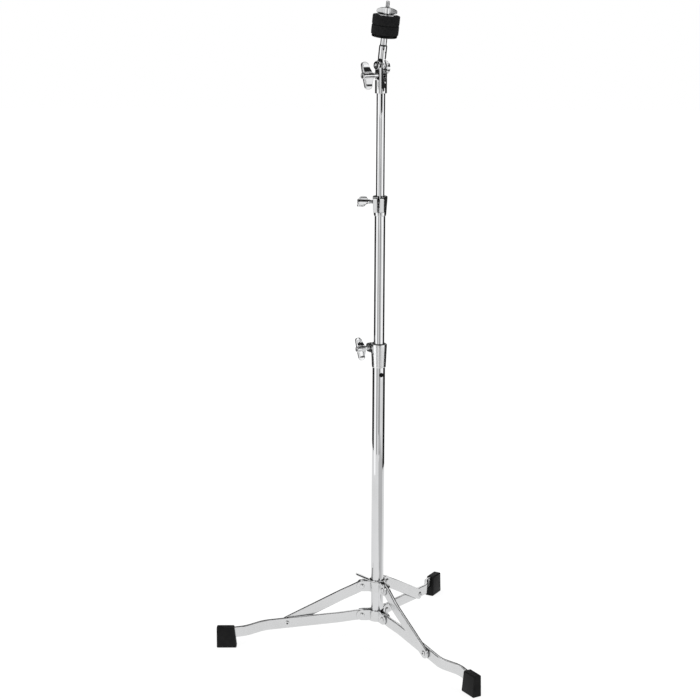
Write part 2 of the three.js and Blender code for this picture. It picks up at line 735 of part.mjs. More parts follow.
function tiltPin() {
  const seat = EAR_FLAT + GAP;
  const farSeat = seat + FAR_EAR_EXTRA;
  const profile = [
    [0, -farSeat - TILT_PIN_END_HEIGHT],
    [TILT_PIN_END_RADIUS, -farSeat - TILT_PIN_END_HEIGHT],
    [TILT_PIN_END_RADIUS, -farSeat],
    [TILT_PIN_RADIUS, -farSeat],
    [TILT_PIN_RADIUS, seat],
    [TILT_PIN_HEAD_RADIUS, seat],
    [TILT_PIN_HEAD_RADIUS, seat + TILT_PIN_HEAD_HEIGHT / 2],
    [TILT_PIN_HEAD_RADIUS / 2, seat + TILT_PIN_HEAD_HEIGHT],
    [0, seat + TILT_PIN_HEAD_HEIGHT],
  ];
  return weld(alongX(turned(profile, ROUND_SIDES, false)));
}

// Rod: Z runs along it, zero at the pivot

function tilterRod() {
  const shaft = solid(turned([
    [0, ROD_START],
    [ROD_RADIUS, ROD_START],
    [ROD_RADIUS, ROD_SHOULDER],
    [ROD_NECK_RADIUS, ROD_SHOULDER + ROD_CONE],
    [ROD_NECK_RADIUS, ROD_SEAT],
    [THREAD_RADIUS, ROD_SEAT],
    [THREAD_RADIUS, ROD_TIP - ROD_TIP_EDGE],
    [THREAD_RADIUS - ROD_TIP_EDGE, ROD_TIP],
    [0, ROD_TIP],
  ], ROUND_SIDES, false));
  const halfTongue = SLOT_WIDTH / 2 - GAP;
  const round = solid(alongX(disc(EYE_RADIUS, -halfTongue, halfTongue, ROUND_SIDES)));
  const neckHalf = Math.sqrt((ROD_RADIUS - GAP) ** 2 - halfTongue ** 2);
  const neck = solid(box(-halfTongue, halfTongue, -neckHalf, neckHalf, 0, (ROD_START + ROD_SHOULDER) / 2));
  const wide = halfTongue + OVERRUN;
  const bore = solid(alongX(disc(TILT_PIN_RADIUS + GAP, -wide, wide, PIN_SIDES)));
  return surface(shaft.add(round).add(neck).subtract(bore));
}

// The stack on the rod, each piece made at zero height and then placed along the rod

const threadBore = THREAD_RADIUS + GAP;
const sleeveRadius = threadBore + SLEEVE_WALL;
const feltBore = sleeveRadius + GAP;
const cupZ = ROD_SEAT + GAP;
const lowerFeltZ = cupZ + CUP_HEIGHT + GAP;
const upperFeltZ = lowerFeltZ + FELT_HEIGHT + GAP;
const washerZ = upperFeltZ + FELT_HEIGHT + GAP;
const nutZ = washerZ + WASHER_HEIGHT + GAP;

function cupWasher() {
  return weld(turned([
    [threadBore, 0],
    [CUP_RADIUS - CUP_EDGE, 0],
    [CUP_RADIUS, CUP_EDGE],
    [CUP_RADIUS, CUP_HEIGHT],
    [threadBore, CUP_HEIGHT],
  ], TUBE_SIDES, true));
}

function felt() {
  return weld(turned([
    [feltBore, 0],
    [FELT_RADIUS - FELT_EDGE, 0],
    [FELT_RADIUS, FELT_EDGE],
    [FELT_RADIUS, FELT_HEIGHT - FELT_EDGE],
    [FELT_RADIUS - FELT_EDGE, FELT_HEIGHT],
    [feltBore, FELT_HEIGHT],
  ], TUBE_SIDES, true));
}

function wingNut() {
  const hub = solid(turned([
    [0, 0],
    [NUT_RADIUS, 0],
    [NUT_RADIUS, NUT_HEIGHT - NUT_EDGE],
    [NUT_RADIUS - NUT_EDGE, NUT_HEIGHT],
    [0, NUT_HEIGHT],
  ], ROUND_SIDES, false));
  const halfSpan = NUT_SPAN / 2;
  const wings = solid(upright(roundedShape([
    [-NUT_RADIUS, 0, 0],
    [NUT_RADIUS, 0, 0],
    [halfSpan, NUT_WING_START, NUT_WING_START],
    [halfSpan, NUT_WING_HEIGHT, NUT_WING_HEIGHT / 2],
    [NUT_RADIUS / 2, NUT_HEIGHT - NUT_EDGE, 0],
    [-NUT_RADIUS / 2, NUT_HEIGHT - NUT_EDGE, 0],
    [-halfSpan, NUT_WING_HEIGHT, NUT_WING_HEIGHT / 2],
    [-halfSpan, NUT_WING_START, NUT_WING_START],
  ]), NUT_WING_THICKNESS));
  const bore = solid(disc(threadBore, -OVERRUN, NUT_HEIGHT + OVERRUN, PIN_SIDES));
  return surface(hub.add(wings).subtract(bore));
}

const tilter = new THREE.Group();
tilter.add(piece("tilter_socket", tilterSocket(), CHROME));
tilter.add(piece("tilter_pin", tiltPin(), CHROME));
const tiltScrew = piece("tilter_wing_screw", wingScrew(TILTER_WING, 2 * EAR_FLAT + GAP), CHROME);
tiltScrew.rotation.x = TILT_SCREW_TURN;
tilter.add(placed(tiltScrew, EAR_FLAT + GAP, 0, -TILT_SCREW_BELOW_PIVOT));

const rod = new THREE.Group();
rod.rotation.x = -ROD_LEAN;
rod.add(piece("tilter_rod", tilterRod(), CHROME));
rod.add(placed(piece("cup_washer", cupWasher(), PLASTIC), 0, 0, cupZ));
const sleeve = weld(ring(threadBore, sleeveRadius, 0, SLEEVE_LENGTH, ROUND_SIDES));
rod.add(placed(piece("rod_sleeve", sleeve, PLASTIC), 0, 0, lowerFeltZ));
rod.add(placed(piece("lower_felt", felt(), FELT), 0, 0, lowerFeltZ));
rod.add(placed(piece("upper_felt", felt(), FELT), 0, 0, upperFeltZ));
const washer = weld(ring(threadBore, WASHER_RADIUS, 0, WASHER_HEIGHT, TUBE_SIDES));
rod.add(placed(piece("top_washer", washer, CHROME), 0, 0, washerZ));
const nut = piece("wing_nut", wingNut(), CHROME);
nut.rotation.z = NUT_WING_TURN;
rod.add(placed(nut, 0, 0, nutZ));
tilter.add(rod);
tilter.rotation.z = TILT_AXIS_AZIMUTH;
stand.add(placed(tilter, 0, 0, tiltPivotZ));

// The origin is on the floor, under the middle of the whole stand

stand.updateMatrixWorld(true);
const bounds = new THREE.Box3().setFromObject(stand, true);
const centre = bounds.getCenter(new THREE.Vector3());
stand.position.set(-centre.x, -centre.y, -bounds.min.z);
stand.updateMatrixWorld(true);

export default stand;
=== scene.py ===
# The straight cymbal stand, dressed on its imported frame. Lengths are written in millimetres
# and angles in degrees; each piece is modelled round its own axis and then put in its place.

import math

import bpy
from mathutils import Matrix, Vector


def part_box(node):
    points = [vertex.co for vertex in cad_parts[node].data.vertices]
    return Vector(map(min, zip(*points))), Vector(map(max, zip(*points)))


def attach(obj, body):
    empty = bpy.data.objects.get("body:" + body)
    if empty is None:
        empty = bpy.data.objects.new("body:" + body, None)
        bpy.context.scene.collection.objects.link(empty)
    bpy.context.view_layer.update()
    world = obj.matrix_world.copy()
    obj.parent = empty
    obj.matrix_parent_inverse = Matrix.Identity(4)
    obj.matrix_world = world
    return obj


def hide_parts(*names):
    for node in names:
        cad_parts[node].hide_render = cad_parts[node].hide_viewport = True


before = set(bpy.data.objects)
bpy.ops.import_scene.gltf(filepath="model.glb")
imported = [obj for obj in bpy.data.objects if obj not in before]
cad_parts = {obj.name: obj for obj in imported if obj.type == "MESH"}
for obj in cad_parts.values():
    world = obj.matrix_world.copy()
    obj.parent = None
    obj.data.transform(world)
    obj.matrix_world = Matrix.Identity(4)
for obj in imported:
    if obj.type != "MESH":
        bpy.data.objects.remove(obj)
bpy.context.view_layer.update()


# Base tube: a length of steel tube, drawn smooth and chrome plated, that carries everything.
# Its ends are deburred, and it passes through both hubs and up into the base collar.

MM = 0.001
tube_low, tube_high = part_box("base_tube")
MAST_X = (tube_low.x + tube_high.x) / 2
MAST_Y = (tube_low.y + tube_high.y) / 2
BASE_TUBE_RADIUS = 9.525
TUBE_WALL = 1.2
BASE_TUBE_BOTTOM = 37.83
BASE_TUBE_TOP = 461.9
TUBE_SIDES = 128
# Painted shade: how far the plating looks for nearby surfaces, and the near-black its colour is darkened to
# in crevices and between parts.
PAINTED_SHADE_REACH = 4.5
PAINTED_SHADE_COLOUR = (0.008, 0.008, 0.009, 1)


def turn(angle, axis):
    """A turn by so many degrees."""
    return Matrix.Rotation(math.radians(angle), 4, axis)


def shift(x, y, z):
    """A shift by so many millimetres."""
    return Matrix.Translation(Vector((x, y, z)) * MM)


def on_mast(height=0, azimuth=0):
    """A place on the mast's axis at that height, facing that way."""
    return Matrix.Translation((MAST_X, MAST_Y, height * MM)) @ turn(azimuth, "Z")


def only(piece):
    """Nothing but this piece is selected, and it is the active one."""
    bpy.ops.object.select_all(action="DESELECT")
    piece.select_set(True)
    bpy.context.view_layer.objects.active = piece


def drawn(name, points):
    """Edges pulled from point to point; the piece is left in edit mode."""
    bpy.ops.object.select_all(action="DESELECT")
    bpy.ops.mesh.primitive_plane_add(size=MM, location=(0, 0, 0))
    piece = bpy.context.object
    piece.name = piece.data.name = name
    bpy.ops.object.mode_set(mode="EDIT")
    bpy.ops.mesh.merge(type="CENTER")
    here = Vector(points[0])
    bpy.ops.transform.translate(value=here * MM)
    for point in points[1:]:
        step = (Vector(point) - here) * MM
        bpy.ops.mesh.extrude_region_move(TRANSFORM_OT_translate={"value": step})
        here = Vector(point)
    bpy.ops.mesh.select_all(action="SELECT")
    return piece


def closed_up(piece):
    """Doubles merged and faces turned outwards; ends edit mode."""
    bpy.ops.mesh.select_all(action="SELECT")
    bpy.ops.mesh.remove_doubles(threshold=0.001 * MM)
    bpy.ops.mesh.normals_make_consistent(inside=False)
    bpy.ops.object.mode_set(mode="OBJECT")
    return piece


def rounded(corners, steps=5):
    """Corners of (x, y, setback): each is rounded off between points that far before and after."""
    points = []
    for i, (x, y, setback) in enumerate(corners):
        corner = Vector((x, y))
        if not setback:
            points.append(corner)
            continue
        before = Vector(corners[i - 1][:2])
        after = Vector(corners[(i + 1) % len(corners)][:2])
        start = corner + (before - corner).normalized() * setback
        end = corner + (after - corner).normalized() * setback
        for k in range(steps + 1):
            t = k / steps
            points.append(start * (1 - t) ** 2 + corner * 2 * t * (1 - t) + end * t ** 2)
    return points


def arc(x, y, radius, start, end, steps):
    """Points on a circle, from one angle to another."""
    angles = [math.radians(start + (end - start) * k / steps) for k in range(steps + 1)]
    return [Vector((x + radius * math.cos(a), y + radius * math.sin(a))) for a in angles]


def turned(name, profile, sides=96):
    """A profile of (radius, height) points spun round the Z axis."""
    piece = drawn(name, [(point[0], 0, point[1]) for point in profile])
    bpy.ops.mesh.spin(steps=sides, angle=2 * math.pi, center=(0, 0, 0), axis=(0, 0, 1))
    return closed_up(piece)


def smooth(piece, angle=35):
    only(piece)
    bpy.ops.object.shade_smooth_by_angle(angle=math.radians(angle))
    return piece


def put(piece, place):
    """The piece goes to its place, and its place goes into its mesh."""
    only(piece)
    piece.matrix_world = place
    bpy.context.view_layer.update()
    bpy.ops.object.transform_apply(location=True, rotation=True, scale=True)
    return piece


def tube(name, radius, bottom, top, rim=0.35):
    inner = radius - TUBE_WALL
    section = rounded([
        (inner, bottom, rim), (radius, bottom, rim), (radius, top, rim), (inner, top, rim),
    ])
    return smooth(turned(name, section + section[:1], TUBE_SIDES))


class Amount:
    """A number that changes over a surface, worked on with plain arithmetic."""

    def __init__(self, finish, socket):
        self.finish = finish
        self.socket = socket

    def worked(self, operation, first, second):
        return self.finish.add("ShaderNodeMath", {"operation": operation}, {0: first, 1: second})

    def __add__(self, other):
        return self.worked("ADD", self, other)

    def __sub__(self, other):
        return self.worked("SUBTRACT", self, other)

    def __rsub__(self, other):
        return self.worked("SUBTRACT", other, self)

    def __mul__(self, other):
        return self.worked("MULTIPLY", self, other)

    __radd__ = __add__
    __rmul__ = __mul__


class Finish:
    """A material or the room's light, built one node at a time."""

    def __init__(self, owner):
        owner.use_nodes = True
        self.owner = owner
        self.tree = owner.node_tree

    def add(self, kind, settings, inputs, output=0):
        """A node of that kind, with its settings and then its sockets; one of its outputs."""
        node = self.tree.nodes.new(kind)
        for name, value in settings.items():
            setattr(node, name, value)
        for name, value in inputs.items():
            self.feed(node.inputs[name], value)
        return Amount(self, node.outputs[output])

    def feed(self, socket, value):
        if isinstance(value, Amount):
            self.tree.links.new(value.socket, socket)
        else:
            socket.default_value = value

    def noise(self, scale, detail=2.0, stretch=(1, 1, 1), distortion=0.0):
        """Noise of about one lump in 1/scale metres, in the object's own coordinates."""
        place = self.add("ShaderNodeTexCoord", {}, {}, "Object")
        mapped = self.add("ShaderNodeMapping", {}, {"Vector": place, "Scale": stretch})
        return self.add("ShaderNodeTexNoise", {}, {
            "Vector": mapped, "Scale": scale, "Detail": detail, "Distortion": distortion,
        })

    def span(self, value, low, high):
        """The value's stretch from low to high, opened up to run from 0 to 1."""
        return self.add("ShaderNodeMapRange", {"clamp": True}, {
            "Value": value, "From Min": low, "From Max": high,
        })

    def mix(self, amount, first, second):
        return self.add("ShaderNodeMix", {"data_type": "RGBA"}, {0: amount, 6: first, 7: second}, 2)

    def bump(self, height, strength, distance):
        return self.add("ShaderNodeBump", {}, {
            "Height": height, "Strength": strength, "Distance": distance * MM,
        })

    def skin(self, **sockets):
        """Sets the surface's own sockets, with their names written with underscores."""
        surface = self.tree.nodes["Principled BSDF"]
        for name, value in sockets.items():
            self.feed(surface.inputs[name.replace("_", " ")], value)
        return self.owner


def plating(name, clean, dull, shine, smear, ripple):
    """Chrome plate: faint smears, dust specks, a trace of polishing ripple, and painted shade that darkens
    its crevices.

    Shine is the roughness of clean plate, and smear is what a smear adds to it.
    """
    finish = Finish(bpy.data.materials.new(name))
    smears = finish.span(finish.noise(45, 5, (1, 1, 0.4), 0.6), 0.42, 0.72)
    specks = finish.span(finish.noise(2600, 1), 0.68, 0.78)
    waves = finish.noise(240, 3)
    # Painted shade: an ambient occlusion mask turns the plate's colour near-black in crevices, hollows and
    # between parts.
    reach = {"Distance": PAINTED_SHADE_REACH * MM}
    painted_shade_openness = finish.add("ShaderNodeAmbientOcclusion", {"samples": 8}, reach, "AO")
    plate = finish.mix(smears * 0.6 + specks * 0.4, clean, dull)
    return finish.skin(
        Base_Color=finish.mix(finish.span(painted_shade_openness, 0.3, 0.66), PAINTED_SHADE_COLOUR, plate),
        Metallic=1.0,
        Roughness=smears * smear + specks * 0.12 + shine,
        Normal=finish.bump(waves, ripple, 0.05),
    )


def fitted(piece, body, slot, finish, *nodes):
    """The piece gets its finish, rides on its body and stands for its nodes."""
    piece.data.materials.clear()
    piece.data.materials.append(finish)
    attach(piece, body)
    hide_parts(*nodes)


tube_chrome = plating(
    "tube_chrome", clean=(0.86, 0.865, 0.875, 1), dull=(0.78, 0.785, 0.79, 1),
    shine=0.035, smear=0.05, ripple=0.04,
)
base_tube = tube("base_tube_plated", BASE_TUBE_RADIUS, BASE_TUBE_BOTTOM, BASE_TUBE_TOP)
fitted(put(base_tube, on_mast()), "base", "tube_chrome", tube_chrome, "base_tube")


# Hub strips: flat steel strip, bent round the tube and out again into two ears, three to a hub.
# Neighbouring ears hold one leg between them, and the strips are plated like the bars.

LEG_AZIMUTHS = {1: 180, 2: 60, 3: -60}
PIVOT_RADIUS = 23.53
HUB_Z = {"lower": 46.08, "upper": 93.82}
HUB_BODY = {"lower": "base", "upper": "slider"}
STRIP_HEIGHT = 16.5
STRIP_INNER = 9.825
STRIP_OUTER = 12.325
EAR_NEAR = 2.7
EAR_FAR = 5.2
EAR_ANGLE = 60
INNER_CROOK = 2.4
OUTER_CROOK = 1.2
OVER = 5
OUTLINE_AXES = {"X": (2, 0, 1), "Y": (0, 2, 1), "Z": (0, 1, 2)}


def pulled(name, outline, low, high, axis):
    """A filled outline, pulled along an axis from low to high."""
    order = OUTLINE_AXES[axis]
    along = Vector([(high - low) * MM if order[i] == 2 else 0 for i in range(3)])
    points = []
    for point in outline:
        spot = (point[0], point[1], low)
        points.append(tuple(spot[order[i]] for i in range(3)))
    piece = drawn(name, points)
    bpy.ops.mesh.edge_face_add()
    bpy.ops.mesh.extrude_region_move(TRANSFORM_OT_translate={"value": along})
    return closed_up(piece)


def worked_on(piece, kind, **settings):
    """A modifier, set and applied."""
    only(piece)
    modifier = piece.modifiers.new(kind.title(), kind)
    for name, value in settings.items():
        setattr(modifier, name, value)
    bpy.ops.object.modifier_apply(modifier=modifier.name)
    return piece


def shaped_by(piece, tool, operation):
    """The tool is added, cut away or kept, and used up."""
    worked_on(piece, "BOOLEAN", operation=operation, object=tool, solver="EXACT")
    bpy.data.objects.remove(tool)
    return piece


def soft_edged(piece, width, segments=3, angle=30):
    """Every edge sharper than the angle is rounded off."""
    return worked_on(
        piece, "BEVEL", width=width * MM, segments=segments, limit_method="ANGLE",
        angle_limit=math.radians(angle), use_clamp_overlap=True,
    )


def twin(piece, name):
    """A copy with its own mesh."""
    only(piece)
    bpy.ops.object.duplicate(linked=False)
    copy = bpy.context.object
    copy.name = copy.data.name = name
    return copy


def ear_point(side, out, offset):
    """A corner of an ear, seen from above: the ears point away on either side of X."""
    angle = math.radians(EAR_ANGLE)
    along = Vector((math.cos(angle), side * math.sin(angle))) * out
    return along + Vector((math.sin(angle), -side * math.cos(angle))) * offset


def hub_strip(name):
    """One strip round its own side of the tube, with an ear at each end."""
    inner = EAR_ANGLE - math.degrees(math.asin(EAR_NEAR / STRIP_INNER))
    outer = EAR_ANGLE - math.degrees(math.asin(EAR_FAR / STRIP_OUTER))
    half = STRIP_HEIGHT / 2
    end = PIVOT_RADIUS + half
    inner_skip = math.degrees(INNER_CROOK / STRIP_INNER)
    outer_skip = math.degrees(OUTER_CROOK / STRIP_OUTER)

    def plain(points):
        return [(point[0], point[1], 0) for point in points]

    def bend(radius, angle, setback):
        point = arc(0, 0, radius, angle, angle, 1)[0]
        return (point[0], point[1], setback)

    corners = plain([ear_point(1, end, EAR_NEAR)])
    corners.append(bend(STRIP_INNER, inner, INNER_CROOK))
    corners += plain(arc(0, 0, STRIP_INNER, inner - inner_skip, inner_skip - inner, 14))
    corners.append(bend(STRIP_INNER, -inner, INNER_CROOK))
    corners += plain([ear_point(-1, end, EAR_NEAR), ear_point(-1, end, EAR_FAR)])
    corners.append(bend(STRIP_OUTER, -outer, OUTER_CROOK))
    corners += plain(arc(0, 0, STRIP_OUTER, outer_skip - outer, outer - outer_skip, 14))
    corners.append(bend(STRIP_OUTER, outer, OUTER_CROOK))
    corners += plain([ear_point(1, end, EAR_FAR)])
    strip = pulled(name, rounded(corners), -half, half, "Z")
    reach = half + OVER
    beyond = [Vector((0, reach))] + arc(0, 0, half, 90, -90, 18)
    beyond += [Vector((0, -reach)), Vector((reach, -reach)), Vector((reach, reach))]
    for side in (1, -1):
        cutter = pulled("ear_cutter", beyond, -OVER, OVER, "Y")
        middle = -side * (EAR_NEAR + EAR_FAR) / 2
        put(cutter, turn(side * EAR_ANGLE, "Z") @ shift(PIVOT_RADIUS, middle, 0))
        shaped_by(strip, cutter, "DIFFERENCE")
    return smooth(soft_edged(strip, 0.4))


bar_chrome = plating(
    "bar_chrome", clean=(0.845, 0.85, 0.855, 1), dull=(0.80, 0.805, 0.81, 1),
    shine=0.17, smear=0.03, ripple=0.03,
)
strip_pattern = hub_strip("hub_strip_pattern")
for level, height in HUB_Z.items():
    for number, azimuth in LEG_AZIMUTHS.items():
        node = f"{level}_hub_strip_{number}"
        strip = put(twin(strip_pattern, f"{node}_bent"), on_mast(height, azimuth + EAR_ANGLE))
        fitted(strip, HUB_BODY[level], "flat_bar", bar_chrome, node)
bpy.data.objects.remove(strip_pattern)


# Legs and struts: flat steel bars with rolled edges, cranked in a press and chrome plated.
# A strut is riveted flat against its leg, and the leg is cranked once more before its foot.

BAR_HEIGHT = 16.2
BAR_THICKNESS = 4.8
BAR_EDGE = 1.1
BAR_SIDE = 2.55
CRANK = (12.5, 36.5)
FOOT_CRANK = (153.5, 181.5)
FOOT_SIDE = 17.45
LEG_SLOPE = 6.412
STRUT_SLOPE = 27.591
LEG_TO_RIVET = 117.123
STRUT_LENGTH = 131.324
LEG_LENGTH = 220.379


def ribbon(centre_line, half):
    """The outline of a band that runs along a centre line."""
    edges = {1: [], -1: []}
    last = len(centre_line) - 1
    for i, point in enumerate(centre_line):
        into = (point - centre_line[max(i - 1, 0)]).normalized()
        out = (centre_line[min(i + 1, last)] - point).normalized()
        into = out if i == 0 else into
        out = into if i == last else out
        normal = Vector((-into.y - out.y, into.x + out.x)).normalized()
        stretch = half / (normal.x * -into.y + normal.y * into.x)
        for side, edge in edges.items():
            edge.append(point + normal * stretch * side)
    return edges[1] + edges[-1][::-1]


def bar(name, cranks, length, far_round):
    """A bar with its first eye at zero: cranks are (x, y, setback) corners of its centre line."""
    half = BAR_HEIGHT / 2
    plan = ribbon(rounded(cranks, 6), BAR_THICKNESS / 2)
    piece = pulled(name, plan, -half, half, "Z")
    side = arc(0, 0, half, 90, 270, 20)
    if far_round:
        side += arc(length, 0, half, -90, 90, 20)
    else:
        side += [Vector((length + 1, -half)), Vector((length + 1, half))]
    shaped_by(piece, pulled("bar_side", side, -30, 30, "Y"), "INTERSECT")
    return smooth(soft_edged(piece, BAR_EDGE, 4))


leg_pattern = bar("leg_pattern", [
    (-BAR_HEIGHT / 2 - 1, 0, 0), (CRANK[0], 0, 6), (CRANK[1], BAR_SIDE, 6),
    (FOOT_CRANK[0], BAR_SIDE, 9), (FOOT_CRANK[1], FOOT_SIDE, 9), (LEG_LENGTH, FOOT_SIDE, 0),
], LEG_LENGTH, False)
strut_pattern = bar("strut_pattern", [
    (-BAR_HEIGHT / 2 - 1, 0, 0), (CRANK[0], 0, 6), (CRANK[1], -BAR_SIDE, 6),
    (STRUT_LENGTH + BAR_HEIGHT / 2 + 1, -BAR_SIDE, 0),
], STRUT_LENGTH, True)


def leg_place(azimuth):
    return on_mast(HUB_Z["lower"], azimuth) @ shift(PIVOT_RADIUS, 0, 0) @ turn(LEG_SLOPE, "Y")


def strut_place(azimuth):
    return on_mast(HUB_Z["upper"], azimuth) @ shift(PIVOT_RADIUS, 0, 0) @ turn(STRUT_SLOPE, "Y")


for number, azimuth in LEG_AZIMUTHS.items():
    leg = put(twin(leg_pattern, f"leg_{number}_bar"), leg_place(azimuth))
    fitted(leg, f"leg_{number}", "flat_bar", bar_chrome, f"leg_{number}")
    strut = put(twin(strut_pattern, f"strut_{number}_bar"), strut_place(azimuth))
    fitted(strut, f"strut_{number}", "flat_bar", bar_chrome, f"strut_{number}")
bpy.data.objects.remove(leg_pattern)
bpy.data.objects.remove(strut_pattern)


# Rivets: domed steel heads on both sides of each hub joint, and semi-tubular rivets where a
# strut meets its leg, whose closed ends show a small hollow in the middle.

HEAD_RADIUS = 4.1
HEAD_HEIGHT = 1.9
HEAD_RIM = 0.4
SHANK_RADIUS = 2.3
HOLLOW_RADIUS = 1.5
HOLLOW_DEPTH = 2.4
MID_RIVET_START = 0.2
MID_RIVET_SEAT = 4.97
HAIR = 0.02


def head(seat, hollow):
    """Profile of a domed head from its rim to its crown, or down into its hollow."""
    dome = []
    for k in range(11):
        angle = math.radians(90 * k / 10)
        radius = HEAD_RADIUS * math.cos(angle)
        if radius < hollow:
            break
        rise = HEAD_RIM + (HEAD_HEIGHT - HEAD_RIM) * math.sin(angle)
        dome.append((radius, seat + rise))
    if not hollow:
        return dome
    brim, bottom = dome[-1][1] - 0.1, seat - HOLLOW_DEPTH
    return dome + [(hollow, brim), (hollow * 0.9, bottom + 0.5), (hollow * 0.6, bottom), (0, bottom)]


def rivet(name, low, seat, hollow, both):
    """A rivet along Y, with one head or two."""
    rim = [(HEAD_RADIUS - 0.25, seat), (HEAD_RADIUS, seat + 0.2)]
    upper = [(SHANK_RADIUS, seat)] + rim + head(seat, hollow)
    lower = [(r, -z) for r, z in upper[::-1]] if both else [(0, low), (SHANK_RADIUS, low)]
    piece = smooth(turned(name, lower + upper, 48))
    return put(piece, turn(-90, "X"))


small_steel = plating(
    "small_steel", clean=(0.85, 0.855, 0.86, 1), dull=(0.76, 0.765, 0.77, 1),
    shine=0.06, smear=0.05, ripple=0.04,
)
hub_rivet_pattern = rivet("hub_rivet_pattern", 0, EAR_FAR + HAIR, 0, True)
mid_rivet_pattern = rivet("mid_rivet_pattern", MID_RIVET_START, MID_RIVET_SEAT, HOLLOW_RADIUS, False)
for number, azimuth in LEG_AZIMUTHS.items():
    for level, height in HUB_Z.items():
        node = f"{level}_hub_rivet_{number}"
        place = on_mast(height, azimuth) @ shift(PIVOT_RADIUS, 0, 0)
        domed = put(twin(hub_rivet_pattern, f"{node}_domed"), place)
        fitted(domed, HUB_BODY[level], "small_steel", small_steel, node)
    far_eyes = {
        "leg": leg_place(azimuth) @ shift(LEG_TO_RIVET, 0, 0),
        "strut": strut_place(azimuth) @ shift(STRUT_LENGTH, 0, 0) @ turn(180, "X"),
    }
    for holder, place in far_eyes.items():
        node = f"{holder}_rivet_{number}"
        closed = put(twin(mid_rivet_pattern, f"{node}_closed"), place)
        fitted(closed, f"{holder}_{number}", "small_steel", small_steel, node)
bpy.data.objects.remove(hub_rivet_pattern)
bpy.data.objects.remove(mid_rivet_pattern)


# Feet: blocks of black rubber moulded with soft corners and drawn in towards the top.
# Each is pressed over the end of its leg through a close pocket in its inner face.

FOOT_REACH = 210
FOOT_LENGTH = 31
FOOT_WIDTH = 14.8
FOOT_HEIGHT = 33
FOOT_INNER_TAPER = 3.6
FOOT_SIDE_TAPER = 1
FOOT_EDGE = 1.9
BAR_AT_FOOT_Z = 22.48
POCKET_END = 9.4
POCKET_HALF_WIDTH = 2.7
POCKET_HALF_HEIGHT = 8.4


def chosen(piece, wanted):
    """Edit mode, with only the vertices selected whose place is wanted."""
    only(piece)
    bpy.ops.object.mode_set(mode="EDIT")
    bpy.ops.mesh.select_mode(type="VERT")
    bpy.ops.mesh.select_all(action="DESELECT")
    bpy.ops.object.mode_set(mode="OBJECT")
    for vertex in piece.data.vertices:
        vertex.select = wanted(vertex.co / MM)
    bpy.ops.object.mode_set(mode="EDIT")


def moved(piece, wanted, x, y, z):
    chosen(piece, wanted)
    bpy.ops.transform.translate(value=Vector((x, y, z)) * MM)
    bpy.ops.object.mode_set(mode="OBJECT")


def foot(name):
    bpy.ops.object.select_all(action="DESELECT")
    bpy.ops.mesh.primitive_cube_add(size=MM, location=(0, 0, FOOT_HEIGHT * MM / 2))
    piece = bpy.context.object
    piece.name = piece.data.name = name
    piece.scale = (FOOT_LENGTH, FOOT_WIDTH, FOOT_HEIGHT)
    bpy.ops.object.transform_apply(location=True, rotation=True, scale=True)
    moved(piece, lambda v: v.z > 1 and v.x < 0, FOOT_INNER_TAPER, 0, 0)
    for side in (1, -1):
        moved(piece, lambda v: v.z > 1 and v.y * side > 0, 0, -side * FOOT_SIDE_TAPER, 0)
    soft_edged(piece, FOOT_EDGE, 5)
    mouth, low, high = -40, -POCKET_HALF_HEIGHT, POCKET_HALF_HEIGHT
    sides = [(mouth, low), (POCKET_END, low), (POCKET_END, high), (mouth, high)]
    pocket = pulled("pocket", sides, -POCKET_HALF_WIDTH, POCKET_HALF_WIDTH, "Y")
    put(pocket, shift(0, 0, BAR_AT_FOOT_Z) @ turn(LEG_SLOPE, "Y"))
    shaped_by(piece, pocket, "DIFFERENCE")
    return smooth(piece, 40)


def moulded(name, colour, worn, roughness, grain, depth, shine, scuffed_to=None):
    """Moulded rubber or plastic: a fine skin grain, uneven gloss, and scuffs low down where wanted."""
    finish = Finish(bpy.data.materials.new(name))
    bloom = finish.span(finish.noise(90, 4, distortion=0.4), 0.38, 0.75)
    wear, dullness, relief = bloom * 0.5, roughness + bloom * 0.12, finish.noise(grain, 3)
    if scuffed_to:
        place = finish.add("ShaderNodeTexCoord", {}, {}, "Object")
        height = finish.add("ShaderNodeSeparateXYZ", {}, {"Vector": place}, "Z")
        low_down = 1 - finish.span(height, 0.0, scuffed_to * MM)
        scuffs = finish.span(finish.noise(700, 4, (1, 1, 0.35)), 0.5, 0.72) * low_down
        wear, dullness, relief = wear + scuffs * 0.5, dullness + scuffs * 0.15, relief + scuffs * 0.6
    return finish.skin(
        Base_Color=finish.mix(wear, colour, worn),
        Roughness=dullness,
        Specular_IOR_Level=shine,
        Normal=finish.bump(relief, 0.35, depth),
    )


rubber = moulded(
    "rubber", (0.0055, 0.0055, 0.0058, 1), worn=(0.016, 0.016, 0.016, 1),
    roughness=0.45, grain=2600, depth=0.10, shine=0.15, scuffed_to=6,
)
foot_pattern = foot("foot_pattern")
for number, azimuth in LEG_AZIMUTHS.items():
    place = on_mast(0, azimuth) @ shift(PIVOT_RADIUS + FOOT_REACH, FOOT_SIDE, 0)
    block = put(twin(foot_pattern, f"foot_{number}_moulded"), place)
    fitted(block, f"leg_{number}", "rubber", rubber, f"foot_{number}")
bpy.data.objects.remove(foot_pattern)


# Lock plate: a ring pressed from thin steel that lies on the upper hub, with a tab for the thumb
# bent up over the first leg. Tilted, it lets the hub slide on the tube.

LOCK_Z = 102.37
LOCK_INNER = 10.125
LOCK_OUTER = 12.4
LOCK_THICKNESS = 1.5
TAB_HALF = 5
TAB_START = 11
TAB_END = 33.4
TAB_RISE = 9.6


